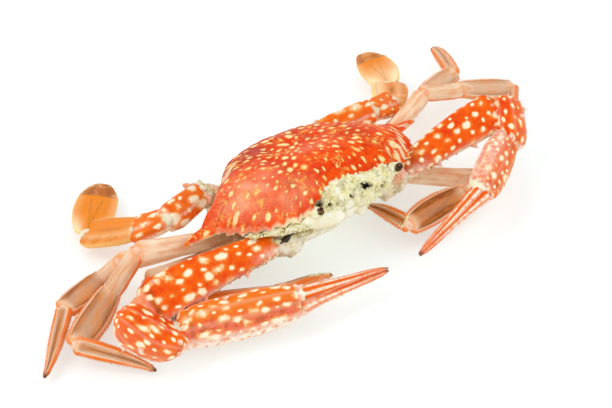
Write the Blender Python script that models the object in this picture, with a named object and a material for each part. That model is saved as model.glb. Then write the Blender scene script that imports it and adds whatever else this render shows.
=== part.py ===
"""A boiled swimming crab, whole, lying on its sternum with its limbs slackly spread.

Frame: the crab's left is +X, its front is -Y, up is +Z.  The origin is the middle of the
bounding box, at the height of the surface that the crab rests on.
All sizes are in millimetres up to the point where a mesh is made.
"""
import math

import bpy
import bmesh
from mathutils import Matrix, Vector

MM = 0.001

# ---- Driving dimensions of the body -------------------------------------------------------
SHELL_WIDTH = 140.0          # tip to tip of the two long side spines
BODY_LIFT = 26.0             # height of the plane through the spine tips, at the shell's middle
BODY_PITCH = 14.0            # degrees that the front of the body is raised
BODY_ROLL = 3.0              # degrees that the left side hangs lower
DOME_HEIGHT = 13.0           # top of the shell over the spine plane
SHELL_FLOOR = -2.0           # under face of the shell solid
EDGE_THICKNESS = 1.6         # of the shell round its teeth and spines
REAR_EDGE_LIFT = 2.0         # how much thicker the shell's rear edge is
PART_GAP = 0.45              # clear space between neighbouring pieces

TEETH_PER_SIDE = 8           # saw teeth between the eye and the long spine
TOOTH_ARC_CENTRE = (20.0, -2.0)
TOOTH_ARC_RADII = (36.0, 31.0)
TOOTH_DEPTH = 2.7
SPINE_WIDTH = 7.0
REAR_CORNER = (22.5, -28.0)
REAR_MARGIN = -33.0
BROKEN_FRONT = 25.4          # how far forward the broken front edge of the shell reaches
BROKEN_HALF_WIDTH = 23.0

FACE_HALF_WIDTH = 20.0
FACE_TOP = 4.6
FACE_BOTTOM = -8.6
FACE_BACK = 26.6
FACE_FRONT = 31.2
EYE_PLACE = (23.6, 31.0, 1.2)
EYE_RADIUS = 2.3

SOCKET_SINK = 0.7            # play round a coxa in its socket
TUBE_SIDES = 10
JOINT_NECK = 2.4             # half breadth of the neck at a leg's joint
JOINT_BEND_LIMIT = math.radians(130)

SIDES = {"L": 1.0, "R": -1.0}

# ---- Limbs ----------------------------------------------------------------------------------
# Each limb: where its coxa starts in the body, where its merus starts, and the lengths of the
# four long segments.  Body places are (out to the side, forward, up) from the spine plane.
LIMBS = {
    "claw": {"socket": (25.0, 15.5, -15.5), "hip": (37.0, 17.5, -10.0), "coxa": (9.5, 8.5),
             "lengths": (62.5, 15.0, 49.0, 42.5)},
    "leg2": {"socket": (27.0, 3.5, -15.5), "hip": (40.5, 3.4, -14.0), "coxa": (6.6, 6.4),
             "lengths": (43.0, 19.5, 35.5, 28.0)},
    "leg3": {"socket": (27.0, -5.0, -15.0), "hip": (40.5, -6.2, -11.3), "coxa": (6.4, 6.4),
             "lengths": (47.0, 24.5, 36.0, 32.0)},
    "leg4": {"socket": (25.5, -13.0, -15.0), "hip": (38.5, -15.0, -13.5), "coxa": (6.0, 6.0),
             "lengths": (48.0, 16.0, 27.0, 34.5)},
    "leg5": {"socket": (20.0, -25.5, -8.5), "hip": (35.5, -27.0, 1.0), "coxa": (7.0, 6.4),
             "lengths": (26.5, 19.5, 26.0, 35.0)},
}

# Pose of each segment: heading (degrees from +X towards +Y), rise (degrees over the level)
# and twist (degrees that its broad axis turns from the level, inner or front edge up).
POSES = {
    "R": {
        "claw": ((171, -2, -38), (-63, -33, -10), (-27, 1, 58), (-15, -3, 58)),
        "leg2": ((157, -6, -50), (-70, -7, -30), (-38, 1, -40), (-6, -14, -30)),
        "leg3": ((172, 17, -50), (121, -61, -60), (-153, 3, -22), (-58, -14, 48)),
        "leg4": ((168, 8, -45), (93, -52, -60), (-165, 7, -12), (-144, -9, 8)),
        "leg5": ((-164, 10, -40), (102, -36, -30), (108, -21, -10), (38, 1, 5)),
    },
    "L": {
        "claw": ((-5, 4, -38), (-127, -28, -50), (-155, 6, 50), (-178, -12, 50)),
        "leg2": ((-40, -9, -50), (-160, 13, 20), (180, 4, 40), (81, -12, 45)),
        "leg3": ((5, 16, -38), (-6, -17, -45), (-11, -19, -35), (-140, 4, -20)),
        "leg4": ((1, 8.6, -38), (23, -4, -35), (8, -6, -25), (55, -9, 15)),
        "leg5": ((-25, 12, -40), (12, -18, -30), (43, -13, 0), (56, -3, 15)),
    },
}

# Outline of each kind of segment along its length, as
# (place along, breadth, thickness, shift along the broad axis, shift along the thin axis).
CLAW_MERUS = ((0.03, 7, 6, 0, 0), (0.12, 10, 8, -0.6, 0), (0.30, 12.5, 9.5, -1.2, 0.3),
              (0.55, 15.5, 10.5, -1.6, 0.6), (0.80, 16.8, 11, -1.2, 0.5),
              (0.87, 14.6, 9.4, -0.6, 0.2), (0.912, 8.6, 6.4, 0.4, 0))
CLAW_CARPUS = ((-0.08, 5, 6, -9.4, -3.6), (0.10, 10, 11, -9.4, -3), (0.40, 14, 15.4, -7.8, -2.4),
               (0.72, 15.6, 16, -6, -2.4), (1.0, 13, 13, -6, -2.8), (1.25, 7, 8, -7.6, -3.6))
CLAW_PALM = ((0.09, 10, 8, 0, 0), (0.20, 14.5, 10.5, 0, 0.2), (0.45, 17.4, 12.8, -0.4, 0),
             (0.78, 17.8, 12.8, -0.4, 0), (0.955, 15.4, 11, -0.2, 0))
FIXED_FINGER = ((0.01, 6.8, 8, -4.2, 0), (0.14, 5.2, 6.2, -3.2, 0), (0.35, 4, 4.8, -2.4, 0),
                (0.60, 3.2, 4, -1.9, 0), (0.82, 2.4, 3, -1.5, 0), (0.94, 1.5, 1.8, -1.1, 0),
                (0.99, 0.6, 0.8, -0.6, 0))
CLAW_FINGER = ((0.05, 5, 5, 3.4, 0), (0.13, 5.8, 6, 3.3, 0), (0.35, 4.6, 5, 2.6, 0),
               (0.60, 3.5, 4.2, 2.0, 0), (0.82, 2.6, 3.2, 1.6, 0), (0.95, 1.6, 2, 1.2, 0),
               (1.0, 0.7, 0.8, 0.8, 0))
LEG_MERUS = ((0.0, 4.2, 3.6, 0, 0), (0.09, 6.4, 4.6, 0, 0), (0.40, 8.4, 5.2, 0.2, 0),
             (0.75, 8.8, 5.6, 0.2, 0), (0.94, 7.2, 5.0, 0, 0), (1.0, 3.8, 3.4, 0, 0))
LEG_CARPUS = ((0.0, 4.2, 3.6, 0, 0), (0.14, 6.6, 5, 0.2, 0), (0.55, 8.6, 5.6, 0.4, 0),
              (0.87, 8.2, 5.2, 0.3, 0), (1.0, 4.6, 3.6, 0, 0))
LEG_PROPODUS = ((0.0, 4.6, 3.4, 0, 0), (0.10, 8.8, 4.8, 0, 0), (0.42, 12.4, 5, 0.3, 0),
                (0.75, 12, 4.8, 0.2, 0), (0.94, 8.4, 4.2, 0, 0), (1.0, 4.4, 3.2, 0, 0))
LEG_DACTYL = ((0.0, 4, 3, 0, 0), (0.08, 6.4, 4, 0.1, 0), (0.32, 6.8, 3.8, 0.6, 0),
              (0.64, 5, 3.2, 0.9, 0), (0.88, 2.6, 2, 0.5, 0), (1.0, 0.7, 0.7, 0, 0))
SWIM_MERUS = ((0.0, 5, 4.2, 0, 0), (0.14, 9.4, 6.4, 0, 0), (0.50, 11.6, 7, 0.2, 0),
              (0.86, 11, 6.6, 0.2, 0), (1.0, 5.4, 4.4, 0, 0))
SWIM_CARPUS = ((0.0, 5, 4.2, 0, 0), (0.22, 8.6, 5.8, 0, 0), (0.58, 10.8, 6, 0.2, 0),
               (0.88, 10, 5.4, 0.2, 0), (1.0, 5.4, 4, 0, 0))
SWIM_PROPODUS = ((0.0, 6, 4, 0, 0), (0.16, 13, 4.8, 0, 0), (0.50, 16.4, 4.6, 0.3, 0),
                 (0.84, 15.4, 3.8, 0.3, 0), (1.0, 6, 3, 0, 0))
SWIM_PADDLE = ((0.0, 5, 2.4, 0, 0), (0.09, 11, 2.6, 0, 0), (0.28, 17.6, 2.2, 0.2, 0),
               (0.50, 20, 1.9, 0.2, 0), (0.70, 18.8, 1.6, 0.1, 0), (0.86, 14, 1.4, 0, 0),
               (0.96, 7.4, 1.2, 0, 0), (1.0, 2.4, 1.0, 0, 0))

SEGMENTS = {
    "claw": (("merus", CLAW_MERUS), ("carpus", CLAW_CARPUS), ("palm", CLAW_PALM),
             ("finger", CLAW_FINGER)),
    "leg": (("merus", LEG_MERUS), ("carpus", LEG_CARPUS), ("propodus", LEG_PROPODUS),
            ("dactyl", LEG_DACTYL)),
    "leg5": (("merus", SWIM_MERUS), ("carpus", SWIM_CARPUS), ("propodus", SWIM_PROPODUS),
             ("paddle", SWIM_PADDLE)),
}

# Spines on the edges of the claw's segments: place along, turn round the segment (degrees
# from the broad axis) and height.
SPINES = {
    "merus": ((0.33, 0, 3.4), (0.60, 0, 3.8), (0.86, 0, 3.4)),
    "carpus": ((0.30, 180, 2.6), (0.62, 0, 3.0)),
    "palm": ((0.34, 30, 2.2),),
}
SPINE_FOOT = 0.035           # half length of a spine's foot, as a share of the segment

MATERIALS = {
    "shell": ((0.80, 0.14, 0.02), 0.42),
    "claw_shell": ((0.82, 0.16, 0.02), 0.40),
    "leg_shell": ((0.72, 0.36, 0.16), 0.45),
    "paddle": ((0.74, 0.34, 0.06), 0.40),
    "belly": ((0.80, 0.74, 0.58), 0.50),
    "curd": ((0.82, 0.77, 0.52), 0.75),
    "eye": ((0.03, 0.02, 0.02), 0.25),
}


def material(name):
    """The Principled material of that name, made once."""
    if name in bpy.data.materials:
        return bpy.data.materials[name]
    colour, roughness = MATERIALS[name]
    made = bpy.data.materials.new(name)
    made.use_nodes = True
    shader = made.node_tree.nodes["Principled BSDF"]
    shader.inputs["Base Color"].default_value = (*colour, 1.0)
    shader.inputs["Roughness"].default_value = roughness
    shader.inputs["Metallic"].default_value = 0.0
    return made


def add_object(name, mesh, look, parent):
    """Link a mesh as a named piece with its finish."""
    mesh.materials.append(material(look))
    mesh.shade_smooth()
    mesh.set_sharp_from_angle(angle=math.radians(50))
    piece = bpy.data.objects.new(name, mesh)
    piece.parent = parent
    bpy.context.collection.objects.link(piece)
    return piece


def body_matrix():
    """Body places (side, forward, up) to millimetres over the table."""
    axes = Matrix(((1, 0, 0), (0, -1, 0), (0, 0, 1))).to_4x4()
    pitch = Matrix.Rotation(math.radians(-BODY_PITCH), 4, "X")
    roll = Matrix.Rotation(math.radians(BODY_ROLL), 4, "Y")
    return Matrix.Translation((0, 0, BODY_LIFT)) @ pitch @ roll @ axes


BODY = body_matrix()


def in_body(side, forward, up):
    """A body place as a point over the table."""
    return BODY @ Vector((side, forward, up))


def skin(name, rings):
    """A closed mesh through rings of equal count, each end shut by a fan to its middle."""
    built = bmesh.new()
    rows = [[built.verts.new(point * MM) for point in ring] for ring in rings]
    count = len(rings[0])
    for lower, upper in zip(rows, rows[1:]):
        for i in range(count):
            j = (i + 1) % count
            built.faces.new((lower[i], lower[j], upper[j], upper[i]))
    for row, ring in ((rows[0], rings[0]), (rows[-1], rings[-1])):
        middle = built.verts.new(sum(ring, Vector()) / count * MM)
        for i in range(count):
            built.faces.new((row[i], row[(i + 1) % count], middle))
    bmesh.ops.recalc_face_normals(built, faces=built.faces)
    bmesh.ops.triangulate(built, faces=built.faces)
    mesh = bpy.data.meshes.new(name)
    built.to_mesh(mesh)
    built.free()
    return mesh


# ---- The shell --------------------------------------------------------------------------------

def tooth_row():
    """One side's saw teeth, from the eye to the long spine, as points (side, forward)."""
    points = []
    step = 80.0 / TEETH_PER_SIDE
    for i in range(TEETH_PER_SIDE):
        tip = math.radians(80.0 - step * i)
        notch = math.radians(80.0 - step * (i + 0.42))
        for angle, inward in ((tip, 0.0), (notch, TOOTH_DEPTH)):
            points.append((TOOTH_ARC_CENTRE[0] + (TOOTH_ARC_RADII[0] - inward) * math.cos(angle),
                           TOOTH_ARC_CENTRE[1] + (TOOTH_ARC_RADII[1] - inward) * math.sin(angle)))
    return points


def shell_half():
    """One side's outline behind the broken front, from the eye round to the rear's middle."""
    tip = SHELL_WIDTH / 2
    spine = [(tip - 12.0, 0.45 * SPINE_WIDTH), (tip, 0.0), (tip - 15.5, -0.55 * SPINE_WIDTH)]
    flank = []
    for share in (0.3, 0.55, 0.8):
        hollow = 2.2 * math.sin(math.pi * share)
        side = spine[-1][0] + (REAR_CORNER[0] - spine[-1][0]) * share
        forward = spine[-1][1] + (REAR_CORNER[1] - spine[-1][1]) * share
        flank.append((side - hollow, forward + hollow))
    rear = [REAR_CORNER, (13.0, REAR_MARGIN + 0.8)]
    return tooth_row() + spine + flank + rear


def broken_front():
    """The ragged edge over the face, from right to left."""
    points = []
    steps = 15
    for i in range(steps):
        share = i / (steps - 1)
        side = BROKEN_HALF_WIDTH * (2 * share - 1)
        chip = 0.7 * math.sin(7.3 * side) + 0.5 * math.sin(0.9 * side + 1.0)
        lift = 2.2 * abs(2 * share - 1) ** 4
        points.append((side, BROKEN_FRONT - 0.9 + chip * 0.8 + lift))
    return points


def shell_outline():
    """The whole outline, counter-clockwise seen from above with forward up."""
    left = shell_half()
    right = [(-side, forward) for side, forward in reversed(left)]
    return broken_front() + left + [(0.0, REAR_MARGIN)] + right


def dome(side, forward, share):
    """Height of the shell's top at a place whose share of the way to the edge is given."""
    across = side / 57.0
    along = (forward + 3.0) / (31.0 if forward < -3.0 else 38.0)
    spread = min(1.0, math.hypot(across, along))
    crown = (1.0 - spread ** 3.2) ** 0.62
    edge = SHELL_FLOOR + EDGE_THICKNESS + REAR_EDGE_LIFT * min(1.0, max(0.0, -forward / 25.0))
    return edge + (DOME_HEIGHT - edge) * crown * (1.0 - share ** 14) + 1.4 * (1.0 - share ** 6)


def build_shell(parent):
    """The shell: a domed cap with saw teeth, two long spines and a broken front."""
    outline = shell_outline()
    middle = (0.0, -3.0)
    rings = [[BODY @ Vector((side, forward, SHELL_FLOOR)) for side, forward in outline]]
    for share in (1.0, 0.95, 0.86, 0.72, 0.52, 0.28):
        ring = []
        for side, forward in outline:
            x = middle[0] + (side - middle[0]) * share
            y = middle[1] + (forward - middle[1]) * share
            ring.append(BODY @ Vector((x, y, dome(x, y, share))))
        rings.append(ring)
    return add_object("shell", skin("shell", rings), "shell", parent)


# ---- The body under the shell ---------------------------------------------------------------------

def belly_ring(half_width, front, rear, up, count=28):
    """A level oval of the body, blunt in front."""
    ring = []
    for i in range(count):
        angle = 2 * math.pi * i / count
        reach = front if math.sin(angle) > 0 else rear
        side = half_width * math.copysign(abs(math.cos(angle)) ** 0.8, math.cos(angle))
        forward = reach * math.copysign(abs(math.sin(angle)) ** 0.7, math.sin(angle))
        ring.append(in_body(side, forward, up))
    return ring


def build_belly(parent, cutters):
    """The body block under the shell, flat where the sternum rests, with a socket per limb."""
    rings = [belly_ring(47, 24.6, 28, SHELL_FLOOR - PART_GAP),
             belly_ring(42, 25.4, 27.5, -7),
             belly_ring(35, 25.2, 26.5, -13),
             belly_ring(27, 21.0, 24.5, -18.5)]
    foot = []
    count = len(rings[0])
    for i in range(count):
        angle = 2 * math.pi * i / count
        foot.append(Vector((17 * math.cos(angle), 8.0 - 15 * math.sin(angle), 0.0)))
    rings.append(foot)
    piece = add_object("belly", skin("belly", rings), "belly", parent)
    for cutter in cutters:
        cut = piece.modifiers.new(cutter.name, "BOOLEAN")
        cut.operation = "DIFFERENCE"
        cut.solver = "EXACT"
        cut.object = cutter
    return piece


def build_face(parent):
    """The lumpy curd that fills the broken front."""
    rings = []
    steps = 13
    for i in range(steps):
        share = i / (steps - 1)
        side = FACE_HALF_WIDTH * (2 * share - 1)
        full = (1.0 - abs(2 * share - 1) ** 5) ** 0.4 if 0 < i < steps - 1 else 0.45
        top = FACE_TOP - 0.8 + 0.7 * math.sin(0.8 * side)
        deep = (FACE_FRONT - FACE_BACK) / 2 * full
        high = (top - FACE_BOTTOM) / 2 * full
        ring = []
        for k in range(TUBE_SIDES):
            angle = 2 * math.pi * k / TUBE_SIDES
            lump = 1.0 + 0.06 * math.sin(0.9 * side + 2.0 * k)
            forward = FACE_BACK + deep * (1 + lump * math.cos(angle))
            if math.cos(angle) < 0:
                forward = FACE_BACK + deep * (1 + math.cos(angle))
            up = (top + FACE_BOTTOM) / 2 + high * math.sin(angle)
            ring.append(in_body(side, forward, up))
        rings.append(ring)
    return add_object("face_curd", skin("face_curd", rings), "curd", parent)


def build_eye(tag, parent):
    """A dull dark ball on its stub, in the eye socket."""
    side, forward, up = EYE_PLACE
    rings = []
    for step in range(1, 6):
        polar = math.pi * step / 6
        radius = EYE_RADIUS * math.sin(polar)
        reach = -1.25 * EYE_RADIUS * math.cos(polar)
        rings.append([in_body(SIDES[tag] * side + radius * math.cos(2 * math.pi * k / 10),
                              forward + 0.4 * reach,
                              up + radius * math.sin(2 * math.pi * k / 10)
                              + 0.6 * reach) for k in range(10)])
    return add_object(f"eye_{tag}", skin(f"eye_{tag}", rings), "eye", parent)


def build_mouth(tag, parent):
    """One of the two white plates that close the mouth under the curd."""
    sign = SIDES[tag]
    rings = []
    for up, half, thick in ((-9.4, 3.2, 0.8), (-11, 4.2, 1.2), (-14.5, 3.9, 1.3),
                            (-17, 2.6, 1.1)):
        middle = (sign * 4.8, 27.4 + 0.12 * (up + 9.4))
        rings.append([in_body(middle[0] + half * math.cos(2 * math.pi * k / 10),
                              middle[1] + thick * math.sin(2 * math.pi * k / 10),
                              up) for k in range(10)])
    return add_object(f"mouth_plate_{tag}", skin(f"mouth_plate_{tag}", rings), "belly", parent)


# ---- Limbs --------------------------------------------------------------------------------------------

def segment_frame(heading, rise, twist, sign):
    """Axis, broad and thin directions of a segment."""
    heading, rise, twist = (math.radians(value) for value in (heading, rise, twist))
    axis = Vector((math.cos(heading) * math.cos(rise), math.sin(heading) * math.cos(rise),
                   math.sin(rise)))
    level = (sign * axis.cross(Vector((0, 0, 1)))).normalized()
    upright = axis.cross(level)
    if upright.z < 0:
        upright.negate()
    broad = level * math.cos(twist) + upright * math.sin(twist)
    thin = upright * math.cos(twist) - level * math.sin(twist)
    return axis, broad, thin


def tube_rings(start, length, frame, stations, spines=()):
    """Rounded-box rings along a segment; a spine is one corner of a ring drawn outwards."""
    axis, broad, thin = frame
    places = {}
    for place, *sizes in stations:
        places[place] = (sizes, ())
    for place, turn, height in spines:
        for offset, share in ((-SPINE_FOOT, 0.0), (SPINE_FOOT * 0.4, 1.0), (SPINE_FOOT, 0.0)):
            at = place + offset
            before = max(row for row in stations if row[0] <= at)
            after = min(row for row in stations if row[0] > at)
            blend = (at - before[0]) / (after[0] - before[0])
            sizes = [a + (b - a) * blend for a, b in zip(before[1:], after[1:])]
            places[at] = (sizes, (turn, height * share))
    rings = []
    for place in sorted(places):
        (breadth, thickness, along_broad, along_thin), spine = places[place]
        middle = start + axis * (length * place) + broad * along_broad + thin * along_thin
        corner = round(spine[0] / 360 * TUBE_SIDES) % TUBE_SIDES if spine else None
        ring = []
        for k in range(TUBE_SIDES):
            angle = 2 * math.pi * k / TUBE_SIDES
            wide = math.copysign(abs(math.cos(angle)) ** 0.85, math.cos(angle))
            high = math.copysign(abs(math.sin(angle)) ** 0.85, math.sin(angle))
            out = broad * (wide * breadth / 2) + thin * (high * thickness / 2)
            if k == corner:
                out += out.normalized() * spine[1]
            ring.append(middle + out)
        rings.append(ring)
    return rings


def coxa_rings(start, end, sizes, play=0.0):
    """The short segment between the body and a limb, round at its inner end."""
    axis = (end - start).normalized()
    level = axis.cross(Vector((0, 0, 1))).normalized()
    upright = axis.cross(level)
    length = (end - start).length
    rings = []
    for place, share in ((0.0, 0.55), (0.14, 0.85), (0.4, 1.0), (0.72, 0.95), (0.89, 0.66)):
        reach = start + axis * (length * place + play * (2.0 * place - 1.0))
        rings.append([reach
                      + level * ((sizes[0] / 2 * share + play) * math.cos(2 * math.pi * k / 10))
                      + upright * ((sizes[1] / 2 * share + play) * math.sin(2 * math.pi * k / 10))
                      for k in range(10)])
    return rings


def pull_backs(limb, frames):
    """How far each segment stands back from its two joints, so that no joint overlaps."""
    if limb == "claw":
        return [(0.0, 0.0)] * len(frames)
    gaps = []
    for before, after in zip(frames, frames[1:]):
        bend = min(before[0].angle(after[0]), JOINT_BEND_LIMIT)
        gaps.append(PART_GAP / 2 + JOINT_NECK * math.tan(bend / 2))
    return list(zip([PART_GAP] + gaps, gaps + [0.0]))


def build_limb(tag, limb, parent):
    """All segments of one limb, and the cutter that makes its socket in the body."""
    sign = SIDES[tag]
    sizes = LIMBS[limb]
    side, forward, up = sizes["socket"]
    socket = in_body(sign * side, forward, up)
    side, forward, up = sizes["hip"]
    hip = in_body(sign * side, forward, up)
    look = "claw_shell" if limb == "claw" else "leg_shell"
    name = f"{limb}_{tag}"
    add_object(f"{name}_coxa", skin(f"{name}_coxa", coxa_rings(socket, hip, sizes["coxa"])),
               look, parent)
    start = hip
    kinds = SEGMENTS.get(limb, SEGMENTS["leg"])
    frames = [segment_frame(*pose, sign) for pose in POSES[tag][limb]]
    backs = pull_backs(limb, frames)
    for (segment, stations), length, frame, back in zip(kinds, sizes["lengths"], frames, backs):
        spines = SPINES.get(segment, ()) if limb == "claw" else ()
        rings = tube_rings(start + frame[0] * back[0], length - sum(back), frame, stations,
                           spines)
        if segment == "palm":
            knuckle = start + frame[0] * length
            rings += tube_rings(knuckle, sizes["lengths"][-1], frames[-1], FIXED_FINGER)
        finish = "paddle" if segment == "paddle" else look
        add_object(f"{name}_{segment}", skin(f"{name}_{segment}", rings), finish, parent)
        start = start + frame[0] * length
    cutter_mesh = skin(f"{name}_socket", coxa_rings(socket, hip, sizes["coxa"], SOCKET_SINK))
    cutter = bpy.data.objects.new(f"{name}_socket", cutter_mesh)
    cutter.parent = parent
    cutter.hide_render = True
    cutter.display_type = "WIRE"
    bpy.context.collection.objects.link(cutter)
    return cutter


def centre_on_origin(root, pieces):
    """Shift the whole crab so that the origin is under the middle of its box."""
    low = Vector((math.inf, math.inf, math.inf))
    high = -low
    for piece in pieces:
        for vertex in piece.data.vertices:
            low = Vector(map(min, low, vertex.co))
            high = Vector(map(max, high, vertex.co))
    root.location = (-(low.x + high.x) / 2, -(low.y + high.y) / 2, -low.z)


def main():
    for item in list(bpy.data.objects):
        bpy.data.objects.remove(item, do_unlink=True)
    root = bpy.data.objects.new("crab", None)
    bpy.context.collection.objects.link(root)
    cutters = [build_limb(tag, limb, root) for tag in SIDES for limb in LIMBS]
    build_shell(root)
    build_belly(root, cutters)
    build_face(root)
    for tag in SIDES:
        build_eye(tag, root)
        build_mouth(tag, root)
    pieces = [item for item in bpy.data.objects if item.type == "MESH" and not item.hide_render]
    centre_on_origin(root, pieces)


main()
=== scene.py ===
"""A boiled swimming crab with spotted shell, limp limbs and a broken front, on a pale floor.

The body's own directions, the eyes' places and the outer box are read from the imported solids.
The limbs' places, lengths and poses and the shell's outline repeat the numbers that the solids
were made from, so a change to those solids has to be made here too.  Shapes are worked out in
millimetres and turned into metres when a mesh is made.
"""
import itertools
import math

import bmesh
import bpy
import numpy as np
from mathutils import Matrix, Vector


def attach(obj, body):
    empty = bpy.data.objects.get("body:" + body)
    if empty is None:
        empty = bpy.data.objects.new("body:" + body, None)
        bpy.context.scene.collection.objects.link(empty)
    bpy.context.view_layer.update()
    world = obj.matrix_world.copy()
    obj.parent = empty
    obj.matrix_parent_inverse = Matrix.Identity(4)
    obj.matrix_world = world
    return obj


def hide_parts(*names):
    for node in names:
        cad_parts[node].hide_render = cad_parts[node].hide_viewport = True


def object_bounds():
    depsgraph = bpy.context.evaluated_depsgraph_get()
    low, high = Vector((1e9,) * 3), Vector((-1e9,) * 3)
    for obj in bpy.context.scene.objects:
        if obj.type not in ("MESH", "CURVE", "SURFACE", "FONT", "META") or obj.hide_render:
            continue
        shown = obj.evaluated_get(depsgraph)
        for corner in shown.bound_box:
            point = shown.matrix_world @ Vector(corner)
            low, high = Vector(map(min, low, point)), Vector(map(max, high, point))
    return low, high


bl_info = {
    "name": "Boiled swimming crab",
    "version": (1, 0, 0),
    "blender": (4, 5, 0),
    "location": "View3D > Sidebar > Crab",
    "description": "Builds a boiled swimming crab piece by piece around its packed solids",
    "category": "Add Mesh",
}

MM = 0.001
GROW_STEP = 10.0            # millimetres along a surface to one unit of its grain
TURN = 2.0 * math.pi

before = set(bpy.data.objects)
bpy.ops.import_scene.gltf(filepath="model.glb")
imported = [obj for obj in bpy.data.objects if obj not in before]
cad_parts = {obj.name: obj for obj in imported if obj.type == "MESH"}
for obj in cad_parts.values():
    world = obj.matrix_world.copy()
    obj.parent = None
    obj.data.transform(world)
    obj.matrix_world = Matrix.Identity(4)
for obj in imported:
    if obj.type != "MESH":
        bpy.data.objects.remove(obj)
SOLID_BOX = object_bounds()


# ---- Numbers and noise --------------------------------------------------------------------------

def unit(vector):
    """The vector at length one."""
    return vector / np.linalg.norm(vector)


def ease(low, high, value):
    """0 under low, 1 over high and smooth between; low may be the larger."""
    share = np.clip((np.asarray(value, float) - low) / (high - low), 0.0, 1.0)
    return share * share * (3.0 - 2.0 * share)


def full_turn(count):
    """Even steps round a ring, in radians."""
    return np.linspace(0.0, TURN, count, endpoint=False)


def turn_at(across, top):
    """How far round a segment a place is, from 0 to a full turn."""
    return np.arctan2(top, across) % TURN


def hill(value, middle, width):
    """A soft bump of height one."""
    return np.exp(-((np.asarray(value, float) - middle) / width) ** 2)


def hills(value, middles, width):
    """Soft bumps of one width at several places."""
    return sum(hill(value, middle, width) for middle in middles)


def curve_through(places, heights, at):
    """A smooth curve through the stations."""
    places = np.asarray(places, float)
    heights = np.asarray(heights, float)
    slopes = np.gradient(heights, places)
    i = np.clip(np.searchsorted(places, at) - 1, 0, len(places) - 2)
    step = places[i + 1] - places[i]
    t = np.clip((at - places[i]) / step, 0.0, 1.0)
    return ((2 * t ** 3 - 3 * t ** 2 + 1) * heights[i] + (t ** 3 - 2 * t ** 2 + t) * step * slopes[i]
            + (3 * t ** 2 - 2 * t ** 3) * heights[i + 1] + (t ** 3 - t ** 2) * step * slopes[i + 1])


def lattice_value(cells, seed):
    """A fixed number from 0 to 1 for each whole-number cell."""
    word = (cells[..., 0] * 374761393 + cells[..., 1] * 668265263 + cells[..., 2] * 974634777
            + seed * 362437) & 0xFFFFFFFF
    word = ((word ^ (word >> 13)) * 1274126177) & 0xFFFFFFFF
    return ((word ^ (word >> 16)) & 0xFFFFFF) / float(0xFFFFFF)


def ripple(points, size, seed=0):
    """Smooth noise from -1 to 1 with features of about that size."""
    scaled = points / size
    cells = np.floor(scaled).astype(np.int64)
    inside = scaled - cells
    inside = inside * inside * (3.0 - 2.0 * inside)
    total = np.zeros(points.shape[:-1])
    for corner in itertools.product((0, 1), repeat=3):
        weight = np.ones(points.shape[:-1])
        for axis in range(3):
            weight = weight * (inside[..., axis] if corner[axis] else 1.0 - inside[..., axis])
        total += weight * lattice_value(cells + np.array(corner), seed)
    return 2.0 * total - 1.0


def crumble(points, size, seed=0, layers=3):
    """Noise with finer layers over coarse ones."""
    return sum(ripple(points, size / 2 ** k, seed + k) / 2 ** k for k in range(layers))


def lumps(points, size, seed=0):
    """Round lumps packed together: 1 on a lump's top, 0 in the gaps."""
    cells = np.floor(points / size).astype(np.int64)
    nearest = np.full(points.shape[:-1], 9.0)
    for offset in itertools.product((-1, 0, 1), repeat=3):
        cell = cells + np.array(offset)
        seat = np.stack([lattice_value(cell, seed + 11 * axis) for axis in range(3)], -1)
        gap = np.linalg.norm(points / size - cell - 0.15 - 0.7 * seat, axis=-1)
        nearest = np.minimum(nearest, gap)
    return np.sqrt(np.clip(1.0 - (nearest / 0.85) ** 2, 0.0, 1.0))


# ---- Shapes and meshes -----------------------------------------------------------------------------

class Form:
    """Points, faces and surface values of one piece, gathered from several closed shapes."""

    def __init__(self):
        self.points = []
        self.faces = []
        self.values = []
        self.count = 0

    def add(self, points, faces, **values):
        """Take in one closed shape with its surface values."""
        points = np.asarray(points, float)
        self.points.append(points)
        self.faces.extend([tuple(int(i) + self.count for i in face) for face in faces])
        filled = {key: np.broadcast_to(value, (len(points), 3) if key == "grow" else len(points))
                  for key, value in values.items()}
        self.values.append((len(points), filled))
        self.count += len(points)

    def gathered(self, key, width):
        """One surface value over the whole piece."""
        parts = []
        for count, values in self.values:
            blank = np.zeros((count, 3)) if width == 3 else np.zeros(count)
            parts.append(values.get(key, blank))
        return np.concatenate(parts)


def loft(form, rings, **values):
    """A closed shape through rings (rows, columns, 3); a value may be given per ring point."""
    rows, columns = rings.shape[:2]
    index = np.arange(rows * columns).reshape(rows, columns)
    after = np.roll(index, -1, axis=1)
    faces = np.stack([index[:-1], after[:-1], after[1:], index[1:]], -1).reshape(-1, 4).tolist()
    first, last = rows * columns, rows * columns + 1
    faces += [(index[0, (i + 1) % columns], index[0, i], first) for i in range(columns)]
    faces += [(index[-1, i], index[-1, (i + 1) % columns], last) for i in range(columns)]
    points = np.concatenate([rings.reshape(-1, 3), rings[0].mean(0)[None], rings[-1].mean(0)[None]])
    spread = {}
    for key, value in values.items():
        value = np.asarray(value, float)
        if value.ndim >= 2:
            tail = value.shape[2:]
            flat = value.reshape((-1,) + tail)
            spread[key] = np.concatenate([flat, value[0].mean(0)[None], value[-1].mean(0)[None]])
        else:
            spread[key] = value
    form.add(points, faces, **spread)


def cone(form, foot, direction, height, radius, lean, **values):
    """A small curved thorn."""
    direction = unit(direction)
    side = unit(np.cross(direction, lean) + 1e-6)
    other = np.cross(direction, side)
    rings = []
    for share in np.linspace(0.0, 1.0, 9):
        breadth = radius * (1.0 - share) ** 0.8 + 0.04
        middle = foot + direction * height * share + lean * height * 0.35 * share ** 2
        turn = full_turn(14)[:, None]
        rings.append(middle + breadth * (np.cos(turn) * side + np.sin(turn) * other))
    tip = np.broadcast_to(np.linspace(0, 1, 9)[:, None], (9, 14))
    loft(form, np.array(rings), thorn=tip, **values)


SCALARS = ("edge", "pale", "dark", "pink", "knee", "brown", "tip", "crevice", "stripe", "thorn", "spot")


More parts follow.
